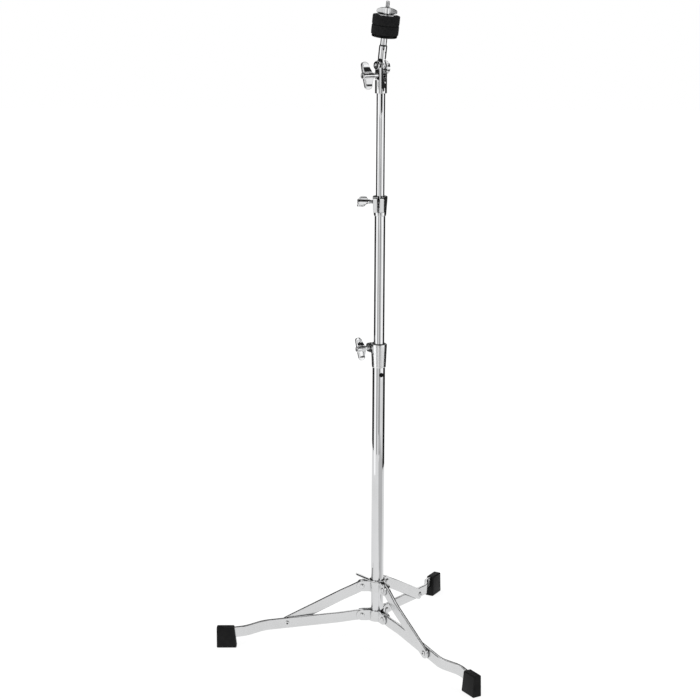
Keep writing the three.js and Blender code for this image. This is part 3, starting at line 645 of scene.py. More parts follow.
def lock_plate(name):
    section = rounded([
        (LOCK_INNER, 0, 0.2), (LOCK_OUTER, 0, 0.3),
        (LOCK_OUTER, LOCK_THICKNESS, 0.5), (LOCK_INNER, LOCK_THICKNESS, 0.3),
    ])
    ring = turned(name, section + section[:1])
    tab = pulled("tab", rounded([
        (TAB_START, HAIR, 0), (LOCK_OUTER + 0.6, HAIR, 1), (TAB_END, TAB_RISE, 0),
        (TAB_END, TAB_RISE + LOCK_THICKNESS, 0), (LOCK_OUTER, LOCK_THICKNESS - HAIR, 1),
        (TAB_START, LOCK_THICKNESS - HAIR, 0),
    ]), -TAB_HALF, TAB_HALF, "Y")
    plan = rounded([
        (0, -TAB_HALF, 0), (TAB_END, -TAB_HALF, 3), (TAB_END, TAB_HALF, 3), (0, TAB_HALF, 0),
    ], 8)
    shaped_by(tab, pulled("tab_plan", plan, -OVER, 4 * OVER, "Z"), "INTERSECT")
    soft_edged(tab, 0.35, 2)
    return smooth(shaped_by(ring, tab, "UNION"))


plate = put(lock_plate("lock_plate_pressed"), on_mast(LOCK_Z, 180))
fitted(plate, "lock_plate", "small_steel", small_steel, "lock_plate")


# Collars: cast bodies that close the base and middle tubes, slotted so that two lobes can be
# drawn together. They are tumbled smooth, so every edge and inner corner is soft, then plated.

SCREW_RADIUS = 2.9
LOBE_RADIUS = 7.2
SCREW_SPACE = 1.3
CLEARANCE = 0.3
HALF_SLOT = 2
SLOT_DEPTH = 24
LOBE_HALF = 8.2
COLLARS = {
    "base": {
        "bottom": 442.0, "height": 36.2, "top_radius": 12.0, "bottom_radius": 10.7, "bore": 9.825,
        "tube": 8.2375, "azimuth": 128.2, "lobe_drop": 0, "lobe_top": 7, "side": 1, "turn": 18,
        "body": "base", "swivel": "mid_swivel",
    },
    "mid": {
        "bottom": 671.7, "height": 29.5, "top_radius": 11.0, "bottom_radius": 9.3, "bore": 8.2375,
        "tube": 6.65, "azimuth": -99, "lobe_drop": 9, "lobe_top": 3, "side": -1, "turn": 73,
        "body": "mid_section", "swivel": "top_swivel",
    },
}


def cast(piece, grain, passes):
    """A casting: everything in it run together and its edges rounded off."""
    worked_on(piece, "REMESH", mode="VOXEL", voxel_size=grain * MM, use_smooth_shade=True)
    return worked_on(piece, "SMOOTH", factor=0.5, iterations=passes)


def screw_reach(sizes):
    """How far from the mast a collar's screw runs."""
    return sizes["bore"] + SCREW_RADIUS + SCREW_SPACE


def collar(name, sizes):
    """A collar's lobes stand at positive X, on either side of its slot."""
    height, bore, offset = sizes["height"], sizes["bore"], screw_reach(sizes)
    screw_z = height - LOBE_RADIUS
    body = turned(name, rounded([
        (0, 0, 0), (sizes["bottom_radius"] - 0.2, 0, 1.2), (sizes["top_radius"], height - 3.5, 1.5),
        (sizes["top_radius"], height, 0.7), (0, height, 0),
    ]), 128)
    low, high = screw_z - LOBE_RADIUS - sizes["lobe_drop"], height - 0.01
    reach, top = offset + LOBE_RADIUS, height + OVER
    lobe = rounded([(0, low, 0), (reach, low, 7), (reach, high, sizes["lobe_top"]), (0, high, 0)], 12)
    shaped_by(body, pulled("lobes", lobe, -LOBE_HALF, LOBE_HALF, "Y"), "UNION")
    core = turned("core", [(0, -OVER), (bore, -OVER), (bore, top), (0, top)], 128)
    shaped_by(body, core, "DIFFERENCE")
    bottom, mouth = height - SLOT_DEPTH, offset + 20
    slot = [(0, bottom), (mouth, bottom), (mouth, top), (0, top)]
    shaped_by(body, pulled("slot", slot, -HALF_SLOT, HALF_SLOT, "Y"), "DIFFERENCE")
    hole_radius, end = SCREW_RADIUS + CLEARANCE, 30
    hole = turned("hole", [(0, -end), (hole_radius, -end), (hole_radius, end), (0, end)], 48)
    put(hole, shift(offset, 0, screw_z) @ turn(90, "X"))
    shaped_by(body, hole, "DIFFERENCE")
    return cast(body, grain=0.32, passes=5)


cast_chrome = plating(
    "cast_chrome", clean=(0.86, 0.865, 0.87, 1), dull=(0.76, 0.765, 0.77, 1),
    shine=0.06, smear=0.06, ripple=0.12,
)
satin_chrome = plating(
    "satin_chrome", clean=(0.96, 0.965, 0.97, 1), dull=(0.88, 0.885, 0.89, 1),
    shine=0.19, smear=0.05, ripple=0.06,
)
collar_finish = {"base": satin_chrome, "mid": cast_chrome}
for level, sizes in COLLARS.items():
    clamp = collar(f"{level}_collar_cast", sizes)
    put(clamp, on_mast(sizes["bottom"], sizes["azimuth"]))
    fitted(clamp, sizes["body"], "cast_chrome", collar_finish[level], f"{level}_collar")


# Bushings: split sleeves of black nylon inside the collars, with a low rim that shows at the
# mouth. The thinner tube runs in them and is gripped when the collar closes.

BUSHING_LENGTH = 16
BUSHING_PROUD = 0.5
BUSHING_HALF_SLIT = 1.7


def bushing(name, sizes):
    inner, outer, edge = sizes["tube"], sizes["bore"] - CLEARANCE, 0.3
    bottom, top = sizes["height"] - BUSHING_LENGTH, sizes["height"] + BUSHING_PROUD
    section = rounded([
        (inner, bottom, edge), (outer, bottom, edge), (outer, top, edge), (inner, top, edge),
    ])
    ring = turned(name, section + section[:1])
    under, past, over = bottom - OVER, outer + OVER, top + OVER
    slit = [(0, under), (past, under), (past, over), (0, over)]
    cutter = pulled("slit", slit, -BUSHING_HALF_SLIT, BUSHING_HALF_SLIT, "Y")
    return smooth(shaped_by(ring, cutter, "DIFFERENCE"))


nylon = moulded(
    "nylon", (0.006, 0.006, 0.006, 1), worn=(0.014, 0.014, 0.014, 1),
    roughness=0.36, grain=900, depth=0.05, shine=0.3,
)
for level, sizes in COLLARS.items():
    split = bushing(f"{level}_bushing_split", sizes)
    put(split, on_mast(sizes["bottom"], sizes["azimuth"]))
    fitted(split, sizes["swivel"], "nylon", nylon, f"{level}_bushing")


# Collar rivet: a small domed rivet of blackened steel, set in the base tube's wall just below
# the collar, so that the collar can't slip down.

COLLAR_RIVET_Z = 431.6
COLLAR_RIVET_AZIMUTH = -68
COLLAR_RIVET_RADIUS = 3.4
COLLAR_RIVET_SHANK = 1.5


def collar_rivet(name):
    seat = BASE_TUBE_RADIUS - 0.3
    crown = [(COLLAR_RIVET_RADIUS * point.x, point.y) for point in arc(0, seat + 0.7, 1, 0, 90, 10)]
    shank = [(0, seat - 0.6), (COLLAR_RIVET_SHANK, seat - 0.6), (COLLAR_RIVET_SHANK, seat)]
    profile = shank + [(COLLAR_RIVET_RADIUS, seat)] + crown
    return put(smooth(turned(name, profile, 48)), turn(90, "Y"))


blackened = plating(
    "blackened_steel", clean=(0.010, 0.010, 0.011, 1), dull=(0.025, 0.025, 0.025, 1),
    shine=0.25, smear=0.1, ripple=0.05,
)
collar_pin = put(collar_rivet("collar_rivet_domed"), on_mast(COLLAR_RIVET_Z, COLLAR_RIVET_AZIMUTH))
fitted(collar_pin, "base", "small_steel", blackened, "collar_rivet")


# Middle and top tubes: thinner steel tubes, plated like the base tube, that slide one in the
# other and are held by the collars.

INNER_TUBES = {
    "mid": {"radius": 7.9375, "bottom": 240.2, "top": 684.9},
    "top": {"radius": 6.35, "bottom": 487.2, "top": 863.7},
}
for level, sizes in INNER_TUBES.items():
    drawn_tube = tube(f"{level}_tube_plated", sizes["radius"], sizes["bottom"], sizes["top"])
    fitted(put(drawn_tube, on_mast()), f"{level}_section", "tube_chrome", tube_chrome, f"{level}_tube")


# Wing screws: cast in one with their wings, dished on both faces and plated, with a recess in
# the hub's outer end. In the collars the threaded shank shows between hub and lobe.

COLLAR_WING = {
    "hub": 4.2, "neck": 3.6, "length": 23.5, "foot": 5, "start": 6, "tip_start": 12.3,
    "tip_width": 10, "half_span": 17.4, "thickness": 3.0,
}
TILTER_WING = {
    "hub": 4.6, "neck": 3.9, "length": 27.5, "foot": 0, "start": 7, "tip_start": 14.5,
    "tip_width": 11.5, "half_span": 20.2, "thickness": 3.4,
}
DISH_DEPTHS = {
    0.2: -0.5, 0.27: 0.02, 0.4: 0.5, 0.54: 0.95, 0.63: 1.1, 0.7: 0.8, 0.76: 0.2, 0.82: -0.5,
}
THREAD_PITCH = 1.0
THREAD_DEPTH = 0.55
TOOTH_SINK = 0.05
TOOTH_START = 0.4


def thread(name, radius, low, high):
    """A threaded length along Z: a core, and one tooth wound up round it."""
    root = radius - THREAD_DEPTH
    core = turned(name, [(0, low), (root, low), (root, high), (0, high)], 48)
    tooth = drawn("tooth", [
        (root - TOOTH_SINK, 0, 0), (radius, 0, THREAD_PITCH * 0.45),
        (radius, 0, THREAD_PITCH * 0.55), (root - TOOTH_SINK, 0, THREAD_PITCH),
    ])
    bpy.ops.object.mode_set(mode="OBJECT")
    turns = int((high - low) / THREAD_PITCH) - 1
    worked_on(
        tooth, "SCREW", axis="Z", angle=2 * math.pi, screw_offset=THREAD_PITCH * MM, iterations=turns,
        steps=24, render_steps=24, use_merge_vertices=True, merge_threshold=0.001 * MM,
    )
    only(tooth)
    bpy.ops.object.mode_set(mode="EDIT")
    closed_up(tooth)
    put(tooth, shift(0, 0, low + TOOTH_START))
    only(core)
    tooth.select_set(True)
    bpy.ops.object.join()
    return smooth(core)


def wing_screw(name, wing):
    """The screw's axis is X, its foot is near zero and its wings stand at positive X."""
    hub, neck, foot, length = wing["hub"], wing["neck"], wing["foot"], wing["length"]
    span, half, tip_round = wing["half_span"], wing["thickness"] / 2, wing["tip_width"] / 2
    tip_start, tip_end = wing["tip_start"], wing["tip_start"] + wing["tip_width"]
    wings = pulled(name, rounded([
        (wing["start"], 0, 0), (tip_start, -span, tip_round), (tip_end, -span, tip_round),
        (length - 0.8, 0, 0), (tip_end, span, tip_round), (tip_start, span, tip_round),
    ], 9), -half, half, "Y")
    soft_edged(wings, 0.6, 3)
    for side in (1, -1):
        for face in (1, -1):
            section = [
                Vector((face * (half - depth), side * span * share)) for share, depth in DISH_DEPTHS.items()
            ]
            outside = face * (half + 2)
            section += [Vector((outside, section[-1].y)), Vector((outside, section[0].y))]
            dish = pulled("dish", section, 1, tip_end - 1.8, "X")
            shaped_by(wings, soft_edged(dish, 0.9, 3), "DIFFERENCE")
    barrel = turned("barrel", rounded([
        (0, foot, 0), (neck, foot, 0.4), (neck, wing["start"], 1), (hub, length - 0.8, 0.6),
        (hub - 0.9, length, 0.4), (hub * 0.58, length, 0.2), (hub * 0.5, length - 1.6, 0.3),
        (0, length - 1.8, 0),
    ]), 64)
    shaped_by(wings, put(barrel, turn(90, "Y")), "UNION")
    return cast(wings, grain=0.24, passes=5)


for level, sizes in COLLARS.items():
    side, seat = sizes["side"], LOBE_HALF + CLEARANCE
    place = on_mast(sizes["bottom"], sizes["azimuth"])
    place = place @ shift(screw_reach(sizes), side * seat, sizes["height"] - LOBE_RADIUS)
    place = place @ turn(side * 90, "Z") @ turn(sizes["turn"], "X")
    screw = put(wing_screw(f"{level}_wing_screw_cast", COLLAR_WING), place)
    fitted(screw, f"{level}_screw", "cast_chrome", cast_chrome, f"{level}_wing_screw")
    low, high = -seat - LOBE_HALF, COLLAR_WING["foot"] + 1
    shank = thread(f"{level}_wing_screw_thread", SCREW_RADIUS, low, high)
    fitted(put(shank, place @ turn(90, "Y")), f"{level}_screw", "cast_chrome", cast_chrome)


# Tilter socket: turned from bar, bored for the top tube below and slotted above. Its near ear is
# milled flat, and its far ear is thicker and stands proud; both are rounded over the pivot.

TILT_Z = 891.2
TILT_AZIMUTH = 218.2
SOCKET_RADIUS = 8.75
SOCKET_BOTTOM = -40.2
SOCKET_SEAT = -27.2
EAR_FLAT = 7.4
EAR_RADIUS = 9.9
FAR_EAR_EXTRA = 1.8
EAR_CENTRE = -3.2
FLAT_BOTTOM = -21
TONGUE_SLOT = 3.3
SLOT_BOTTOM = -23.5
TUBE_BORE = 6.65
CLAMP_Z = -14.2
CLAMP_TURN = 15


def socket(name):
    """The pivot is at zero and along X: the near ear stands at positive X, the far ear at negative."""
    far, wide = EAR_FLAT + FAR_EAR_EXTRA, 20
    body = turned(name, rounded([
        (0, SOCKET_BOTTOM, 0), (SOCKET_RADIUS, SOCKET_BOTTOM, 0.8), (SOCKET_RADIUS, EAR_CENTRE, 0),
        (0, EAR_CENTRE, 0),
    ]), 128)
    for side in (1, -1):
        near, past = side * EAR_FLAT, side * wide
        flat = [(near, FLAT_BOTTOM), (past, FLAT_BOTTOM), (past, OVER), (near, OVER)]
        shaped_by(body, pulled("flat", flat, -wide, wide, "Y"), "DIFFERENCE")
    for low, high, reach in ((0, EAR_FLAT, SOCKET_RADIUS - 0.01), (-far, 0, EAR_RADIUS + OVER)):
        ear = turned("ear", [(0, low), (EAR_RADIUS, low), (EAR_RADIUS, high), (0, high)], 128)
        put(ear, shift(0, 0, EAR_CENTRE) @ turn(90, "Y"))
        barrel = turned("barrel", [(0, -wide), (reach, -wide), (reach, wide), (0, wide)], 128)
        shaped_by(ear, barrel, "INTERSECT")
        shaped_by(body, ear, "UNION")
    bore = turned("bore", [(0, -60), (TUBE_BORE, -60), (TUBE_BORE, SOCKET_SEAT), (0, SOCKET_SEAT)], 96)
    shaped_by(body, bore, "DIFFERENCE")
    slot = [(-wide, SLOT_BOTTOM), (wide, SLOT_BOTTOM), (wide, wide), (-wide, wide)]
    shaped_by(body, pulled("slot", slot, -TONGUE_SLOT, TONGUE_SLOT, "X"), "DIFFERENCE")
    return smooth(soft_edged(body, 0.35, 3, 40), 30)


tilter_place = on_mast(TILT_Z, TILT_AZIMUTH)
tilter_socket = put(socket("tilter_socket_turned"), tilter_place)
fitted(tilter_socket, "top_section", "cast_chrome", cast_chrome, "tilter_socket")


# Tilter pin: a turned steel pin through both ears, with a broad head on the screw's side that is
# hollowed in the middle, and a small flat end, riveted over, on the other. Below it goes the
# tilter's own wing screw.

PIN_RADIUS = 2.2
PIN_HEAD_RADIUS = 6
PIN_HEAD_HEIGHT = 2.4
PIN_END_RADIUS = 3.4
PIN_END_HEIGHT = 1.3


def tilter_pin(name):
    """The pin along X, with its head at positive X."""
    seat = EAR_FLAT + HAIR
    far = seat + FAR_EAR_EXTRA
    end, crown = -far - PIN_END_HEIGHT, seat + PIN_HEAD_HEIGHT
    profile = rounded([
        (0, end, 0), (PIN_END_RADIUS, end, 0.4), (PIN_END_RADIUS, -far, 0), (PIN_RADIUS, -far, 0),
        (PIN_RADIUS, seat, 0), (PIN_HEAD_RADIUS, seat, 0.3), (PIN_HEAD_RADIUS, crown, 0.7),
        (2.7, crown, 0.4), (1.7, seat + 1.4, 0.7), (0, seat + 1.2, 0),
    ])
    return put(smooth(turned(name, profile, 64)), turn(90, "Y"))


pin = put(tilter_pin("tilter_pin_turned"), tilter_place)
fitted(pin, "top_section", "small_steel", small_steel, "tilter_pin")
screw_place = tilter_place @ shift(EAR_FLAT + CLEARANCE, 0, CLAMP_Z) @ turn(CLAMP_TURN, "X")
tilter_screw = put(wing_screw("tilter_wing_screw_cast", TILTER_WING), screw_place)
fitted(tilter_screw, "tilter_screw", "cast_chrome", cast_chrome, "tilter_wing_screw")
tilter_shank = thread("tilter_wing_screw_thread", SCREW_RADIUS, -2 * EAR_FLAT - CLEARANCE, 1)
fitted(put(tilter_shank, screw_place @ turn(90, "Y")), "tilter_screw", "cast_chrome", cast_chrome)


# Rod: turned from steel bar with a flat tongue that tilts in the socket, a shoulder, a seat for
# the cup and a long thread. Two small dimples mark its front, and a small hole its tongue.

ROD_LEAN = 9
ROD_RADIUS = 5.95
ROD_NECK = 4.7
ROD_START = 10
ROD_SHOULDER = 28
ROD_SEAT = 40.2
ROD_TIP = 92.4
THREAD_RADIUS = 3.0
TONGUE_RADIUS = 7.5
TONGUE_HALF = 2.7
TONGUE_NECK = (4.8, 14)
DIMPLE_DEPTH = 2.2
DIMPLES = (
    {"z": 25.2, "azimuth": 277, "half_width": 1.4, "half_height": 2.9},
    {"z": 19.6, "azimuth": 314, "half_width": 1.35, "half_height": 1.35},
)
MARK_RADIUS = 0.85


def rod(name):
    """The rod along Z, with the pivot at zero."""
    core = THREAD_RADIUS - 0.5
    shaft = turned(name, rounded([
        (0, ROD_START, 0), (ROD_RADIUS, ROD_START, 0.6), (ROD_RADIUS, ROD_SHOULDER, 0.5),
        (ROD_NECK, ROD_SHOULDER + 2, 0.5), (ROD_NECK, ROD_SEAT, 0.4), (core, ROD_SEAT, 0),
        (core, ROD_TIP, 0.6), (0, ROD_TIP, 0),
    ]), 64)
    side, top = TONGUE_NECK
    tongue_side = arc(0, 0, TONGUE_RADIUS, 160, 380, 36) + [Vector((side, top)), Vector((-side, top))]
    tongue = soft_edged(pulled("tongue", tongue_side, -TONGUE_HALF, TONGUE_HALF, "X"), 0.3, 2)
    shaped_by(shaft, tongue, "UNION")
    for sizes in DIMPLES:
        bpy.ops.object.select_all(action="DESELECT")
        bpy.ops.mesh.primitive_uv_sphere_add(segments=24, ring_count=12, radius=MM)
        dimple = bpy.context.object
        place = turn(sizes["azimuth"] - TILT_AZIMUTH, "Z") @ shift(ROD_RADIUS, 0, sizes["z"])
        spread = Matrix.Diagonal((DIMPLE_DEPTH, sizes["half_width"], sizes["half_height"], 1))
        shaped_by(shaft, put(dimple, place @ spread), "DIFFERENCE")
    mark = turned("mark", [(0, 0), (MARK_RADIUS, 0), (MARK_RADIUS, 5), (0, 5)], 24)
    shaped_by(shaft, put(mark, shift(0.4, 5, 0.2) @ turn(-90, "X")), "DIFFERENCE")
    return smooth(shaft, 40)


rod_place = tilter_place @ turn(-ROD_LEAN, "X")
rod_shaft = rod("tilter_rod_turned")
rod_thread = thread("tilter_rod_thread", THREAD_RADIUS, ROD_SEAT - 1, ROD_TIP - 0.5)
fitted(put(rod_shaft, rod_place), "rod", "small_steel", small_steel, "tilter_rod")
fitted(put(rod_thread, rod_place), "rod", "small_steel", small_steel)


# Cup washer and sleeve: the cup is moulded black plastic with a rounded lower edge, and the
# sleeve is a plain nylon tube round the thread that keeps metal off metal.

CUP_Z = 40.5
CUP_RADIUS = 18.7
CUP_HEIGHT = 3.9
CUP_LIP = 17.2
FELT_Z = 44.7
THREAD_BORE = 3.3
SLEEVE_RADIUS = 4.8
SLEEVE_LENGTH = 24

black_cup = moulded(
    "black_cup", (0.0015, 0.0015, 0.0015, 1), worn=(0.004, 0.004, 0.004, 1),
    roughness=0.16, grain=1200, depth=0.02, shine=0.12,
)
cup_section = rounded([
    (THREAD_BORE, 0, 0.3), (7.5, 0, 0.6), (9.5, 0.5, 0.8), (CUP_RADIUS - 0.3, 0.6, 1.0),
    (CUP_RADIUS, CUP_HEIGHT, 0.5), (CUP_LIP, CUP_HEIGHT - 0.3, 0.3),
    (THREAD_BORE, CUP_HEIGHT - 0.6, 0.3),
])
cup = smooth(turned("cup_washer_moulded", cup_section + cup_section[:1], 128))
fitted(put(cup, rod_place @ shift(0, 0, CUP_Z)), "rod", "black_cup", black_cup, "cup_washer")
sleeve_section = rounded([
    (THREAD_BORE, 0, 0.2), (SLEEVE_RADIUS, 0, 0.3), (SLEEVE_RADIUS, SLEEVE_LENGTH, 0.3),
    (THREAD_BORE, SLEEVE_LENGTH, 0.2),
])
sleeve = smooth(turned("rod_sleeve_cut", sleeve_section + sleeve_section[:1], 64))
fitted(put(sleeve, rod_place @ shift(0, 0, FELT_Z)), "rod", "nylon", nylon, "rod_sleeve")


# Felts: two thick discs cut from pressed wool felt, dyed black. Their edges are soft and a
# little uneven, and loose fibres lie all over them.

FELT_RADIUS = 19.8
FELT_HEIGHT = 13.65
FELT_BORE = 5.1
UPPER_FELT_Z = 58.65
NAP_SIZE = 1.3
NAP_HEIGHT = 0.55


def felt(name, slide):
    """A felt disc: the slide moves it through the nap's pattern, so no two have the same nap."""
    section = rounded([
        (FELT_BORE, 0.1, 0.8), (FELT_RADIUS, 0.1, 1.3), (FELT_RADIUS + 0.1, FELT_HEIGHT / 2, 2),
        (FELT_RADIUS, FELT_HEIGHT - 0.1, 1.3), (FELT_BORE, FELT_HEIGHT - 0.1, 0.8),
    ], 4)
    disc = drawn(name, [(r, 0, z) for r, z in section + section[:1]])
    bpy.ops.mesh.subdivide(number_cuts=3)
    bpy.ops.mesh.spin(steps=160, angle=2 * math.pi, center=(0, 0, 0), axis=(0, 0, 1))
    closed_up(disc)
    nap = bpy.data.textures.new(f"{name}_nap", "CLOUDS")
    nap.noise_scale = NAP_SIZE * MM
    nap.noise_depth = 2
    put(disc, shift(0, 0, slide))
    worked_on(
        disc, "DISPLACE", texture=nap, texture_coords="LOCAL",
        strength=NAP_HEIGHT * MM, mid_level=0.5,
    )
    put(disc, shift(0, 0, -slide))
    return smooth(disc, 60)


def pressed_felt():
    finish = Finish(bpy.data.materials.new("felt"))
    clumps = finish.span(finish.noise(420, 5, distortion=1.2), 0.36, 0.68)
    across = finish.noise(1500, 3, (1, 1, 0.22), 2.0)
    upright = finish.noise(1500, 3, (0.3, 0.3, 1), 2.0)
    fibres = finish.span(across * 0.5 + upright * 0.5, 0.4, 0.62)
    deep, raised = (0.0045, 0.0045, 0.0047, 1), (0.019, 0.019, 0.0195, 1)
    return finish.skin(
        Base_Color=finish.mix(clumps * 0.45 + fibres * 0.55, deep, raised),
        Roughness=0.92 + fibres * 0.08,
        Specular_IOR_Level=0.15,
        Sheen_Weight=0.05,
        Sheen_Roughness=0.6,
        Sheen_Tint=(0.25, 0.25, 0.26, 1),
        Normal=finish.bump(fibres + clumps * 0.5, 0.7, 0.35),
    )


wool = pressed_felt()
lower_felt = put(felt("lower_felt_pressed", 0), rod_place @ shift(0, 0, FELT_Z))
fitted(lower_felt, "rod", "felt", wool, "lower_felt")
upper_felt = put(felt("upper_felt_pressed", 40), rod_place @ shift(0, 0, UPPER_FELT_Z))
fitted(upper_felt, "clamp_stack", "felt", wool, "upper_felt")


# Top washer: a plain washer punched from sheet steel and plated, which spreads the nut's
# pressure over the felt. The punch has drawn its upper edge over.

WASHER_Z = 72.6
WASHER_RADIUS = 14.6
WASHER_HEIGHT = 1.5

washer_section = rounded([
    (THREAD_BORE, 0, 0.2), (WASHER_RADIUS, 0, 0.2), (WASHER_RADIUS, WASHER_HEIGHT, 0.7),
    (THREAD_BORE, WASHER_HEIGHT, 0.3),
])
washer = smooth(turned("top_washer_punched", washer_section + washer_section[:1], 128))
put(washer, rod_place @ shift(0, 0, WASHER_Z))
fitted(washer, "clamp_stack", "small_steel", small_steel, "top_washer")


# Wing nut: cast with two rounded wings that rise to the hub in a dome, tapped for the rod, and
# plated.

NUT_Z = 74.4
NUT_RADIUS = 5
NUT_HEIGHT = 9.2
NUT_HALF_SPAN = 15.3
NUT_HALF_THICKNESS = 1.4
NUT_TURN = -40


def wing_nut(name):
    outline = [
        (NUT_RADIUS, 0, 0), (NUT_HALF_SPAN, 1.4, 1.4), (NUT_HALF_SPAN - 0.3, 5.4, 2.2),
        (9.5, 8.3, 3.4), (2.5, 8.9, 0),
    ]
    outline = [(-NUT_RADIUS, 0, 0)] + outline + [(-x, z, setback) for x, z, setback in outline[:0:-1]]
    wings = pulled(name, rounded(outline, 9), -NUT_HALF_THICKNESS, NUT_HALF_THICKNESS, "Y")
    soft_edged(wings, 0.5, 3)
    hub = turned("hub", rounded([
        (0, 0, 0), (NUT_RADIUS, 0, 0.4), (NUT_RADIUS - 0.4, NUT_HEIGHT, 0.7), (0, NUT_HEIGHT, 0),
    ]), 64)
    shaped_by(wings, hub, "UNION")
    top = 3 * OVER
    bore = turned("bore", [(0, -OVER), (THREAD_BORE, -OVER), (THREAD_BORE, top), (0, top)], 48)
    shaped_by(wings, bore, "DIFFERENCE")
    return cast(wings, grain=0.22, passes=4)


nut = put(wing_nut("wing_nut_cast"), rod_place @ shift(0, 0, NUT_Z) @ turn(NUT_TURN, "Z"))
fitted(nut, "wing_nut", "cast_chrome", cast_chrome, "wing_nut")


# The room: a pale floor, soft lamps, and plain cards standing round the stand. The cards are
# seen only in the plating, where they draw its long bright and dark lines.

PHOTO_AZIMUTH = -1.8
CAMERA_SIDE = PHOTO_AZIMUTH - 90


def shown_only_in_plating(card):
    card.visible_camera = False
    card.visible_diffuse = False
    card.visible_shadow = False
    card.visible_transmission = False


def glow(name, strength):
    material = bpy.data.materials.new(name)
    finish = Finish(material)
    output = finish.tree.nodes["Material Output"]
    light = finish.add("ShaderNodeEmission", {}, {"Strength": strength})
    finish.tree.links.new(light.socket, output.inputs["Surface"])
    return material


def card(name, start, end, distance, low, high, strength):
    """A card curved round the mast, between two angles from the camera's side."""
    points = arc(0, 0, distance, CAMERA_SIDE + start, CAMERA_SIDE + end, 12)
    piece = drawn(name, [(x, y, low) for x, y in points])
    bpy.ops.mesh.extrude_region_move(TRANSFORM_OT_translate={"value": (0, 0, (high - low) * MM)})
    bpy.ops.object.mode_set(mode="OBJECT")
    put(piece, on_mast())
    piece.data.materials.append(glow(name, strength))
    shown_only_in_plating(piece)


def flat_card(name, right, ahead, height, strength):
    """A level card: how far it reaches sideways and ahead, seen from the camera's side."""
    corners = [(right[0], ahead[0]), (right[1], ahead[0]), (right[1], ahead[1]), (right[0], ahead[1])]
    piece = drawn(name, [(x, y, height) for x, y in corners])
    bpy.ops.mesh.edge_face_add()
    bpy.ops.object.mode_set(mode="OBJECT")
    put(piece, on_mast(0, PHOTO_AZIMUTH))
    piece.data.materials.append(glow(name, strength))
    shown_only_in_plating(piece)


card("dark_card_left", -168, -88, 1200, 1, 1700, 0.02)
card("dark_card_right", 85, 168, 1000, 1, 1700, 0.02)
card("dark_card_back", 177.2, 183.2, 2300, 250, 2300, 0.03)
card("dark_card_front", -4, 65, 2000, 850, 2600, 0.02)
card("soft_card_left", -76, -50, 950, 1, 940, 1.15)
card("soft_card_right", 48, 84, 1000, 270, 940, 1.1)
card("grey_card_left", -40, -20, 1200, 1, 830, 0.36)
card("grey_card_middle", 0, 6, 1500, 1, 830, 0.16)
card("grey_card_right", 6, 27, 1200, 1, 830, 0.34)
card("dark_card_high_left", -120, -4, 2000, 1500, 2600, 0.02)
card("dark_card_high_right", 65, 118, 2000, 1800, 3600, 0.02)
flat_card("dark_card_above", (-1900, 1900), (-2000, 500), 2600, 0.02)
flat_card("grey_card_floor", (150, 1100), (-1100, 0), 1, 0.5)

bpy.ops.object.select_all(action="DESELECT")
bpy.ops.mesh.primitive_plane_add(size=24, location=(0, 0, 0))
floor = bpy.context.object
floor.name = "studio_floor"
floor_paint = Finish(bpy.data.materials.new("studio_floor"))
seen = floor_paint.add("ShaderNodeLightPath", {}, {}, "Is Camera Ray")
mirrored = floor_paint.add("ShaderNodeLightPath", {}, {}, "Is Glossy Ray")
unevenness = floor_paint.noise(0.7, 1)
lit = floor_paint.add("ShaderNodeBsdfDiffuse", {}, {"Color": (0.9, 0.9, 0.9, 1)})
bright = floor_paint.add("ShaderNodeEmission", {}, {
    "Strength": seen * 1.06 + mirrored * (0.72 + unevenness * 0.12),
})
from_middle = floor_paint.add("ShaderNodeVectorMath", {"operation": "LENGTH"}, {
    0: floor_paint.add("ShaderNodeTexCoord", {}, {}, "Object"),
}, "Value")
far_off = floor_paint.span(from_middle, 0.5, 1.3)
share = seen * (0.82 + far_off * 0.18) + mirrored
mixed = floor_paint.add("ShaderNodeMixShader", {}, {0: share, 1: lit, 2: bright})
floor_paint.tree.links.new(mixed.socket, floor_paint.tree.nodes["Material Output"].inputs["Surface"])
floor.data.materials.append(floor_paint.owner)

world = bpy.data.worlds.new("studio")
bpy.context.scene.world = world
room = Finish(world)
background = room.tree.nodes["Background"]
seen = room.add("ShaderNodeLightPath", {}, {}, "Is Camera Ray")
mirrored = room.add("ShaderNodeLightPath", {}, {}, "Is Glossy Ray")
room.feed(background.inputs["Strength"], 0.5 + seen * 0.5 + mirrored * 0.4)
room.feed(background.inputs["Color"], (1, 1, 1, 1))

LAMP_AIM_Z = 0.45


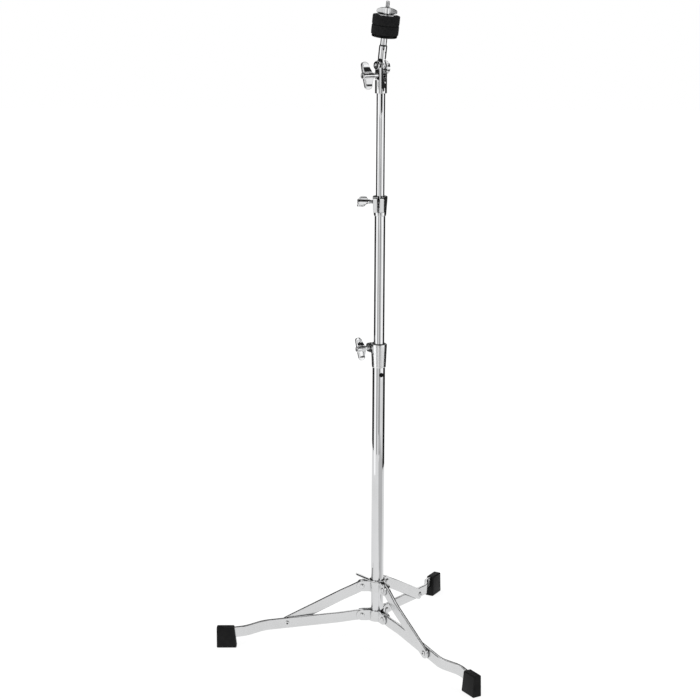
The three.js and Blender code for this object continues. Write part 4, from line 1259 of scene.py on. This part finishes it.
def lamp(name, azimuth, distance, height, size, power):
    """A soft square lamp that looks at the middle of the stand; its lengths are in metres."""
    data = bpy.data.lights.new(name, "AREA")
    data.shape = "SQUARE"
    data.size = size
    data.energy = power
    lamp_object = bpy.data.objects.new(name, data)
    bpy.context.scene.collection.objects.link(lamp_object)
    place = on_mast() @ turn(CAMERA_SIDE + azimuth, "Z") @ Vector((distance, 0, height))
    aim = Vector((MAST_X, MAST_Y, LAMP_AIM_Z)) - place
    lamp_object.location = place
    lamp_object.rotation_mode = "QUATERNION"
    lamp_object.rotation_quaternion = aim.to_track_quat("-Z", "Y")
    lamp_object.visible_glossy = False
    lamp_object.visible_camera = False


lamp("key_lamp", -55, 2.2, 1.9, 1.4, 38)
lamp("fill_lamp", 60, 2.4, 1.5, 1.4, 20)
lamp("top_lamp", 170, 1.2, 2.6, 1.6, 24)


# The camera: it stands where the photograph was taken from, as fitted to the feet, the rivets
# and the tubes' edges. Its place is in metres and its angles in radians.

CAMERA_DISTANCE = 2.370563
CAMERA_HEIGHT = 0.989429
CAMERA_YAW = -0.018392
CAMERA_PITCH = 0.216444
CAMERA_ROLL = 0.003837
FOCAL_PIXELS = 1610.74
PHOTO_PIXELS = 700
SENSOR_WIDTH = 36

camera_data = bpy.data.cameras.new("photo_camera")
camera_data.sensor_width = SENSOR_WIDTH
camera_data.lens = SENSOR_WIDTH * FOCAL_PIXELS / PHOTO_PIXELS
camera_data.clip_start = 0.05
camera_data.clip_end = 60
camera = bpy.data.objects.new("photo_camera", camera_data)
bpy.context.scene.collection.objects.link(camera)
ahead = Vector((
    math.sin(CAMERA_YAW) * math.cos(CAMERA_PITCH),
    math.cos(CAMERA_YAW) * math.cos(CAMERA_PITCH),
    -math.sin(CAMERA_PITCH),
))
right = Vector((math.cos(CAMERA_YAW), -math.sin(CAMERA_YAW), 0))
up = right.cross(ahead)
rolled_right = right * math.cos(CAMERA_ROLL) + up * math.sin(CAMERA_ROLL)
rolled_up = up * math.cos(CAMERA_ROLL) - right * math.sin(CAMERA_ROLL)
axes = Matrix((rolled_right, rolled_up, -ahead)).transposed().to_4x4()
stance = Matrix.Translation((0, -CAMERA_DISTANCE, CAMERA_HEIGHT)) @ axes
camera.matrix_world = on_mast() @ turn(PHOTO_AZIMUTH, "Z") @ stance
bpy.context.scene.camera = camera
bpy.context.scene.view_settings.view_transform = "Standard"
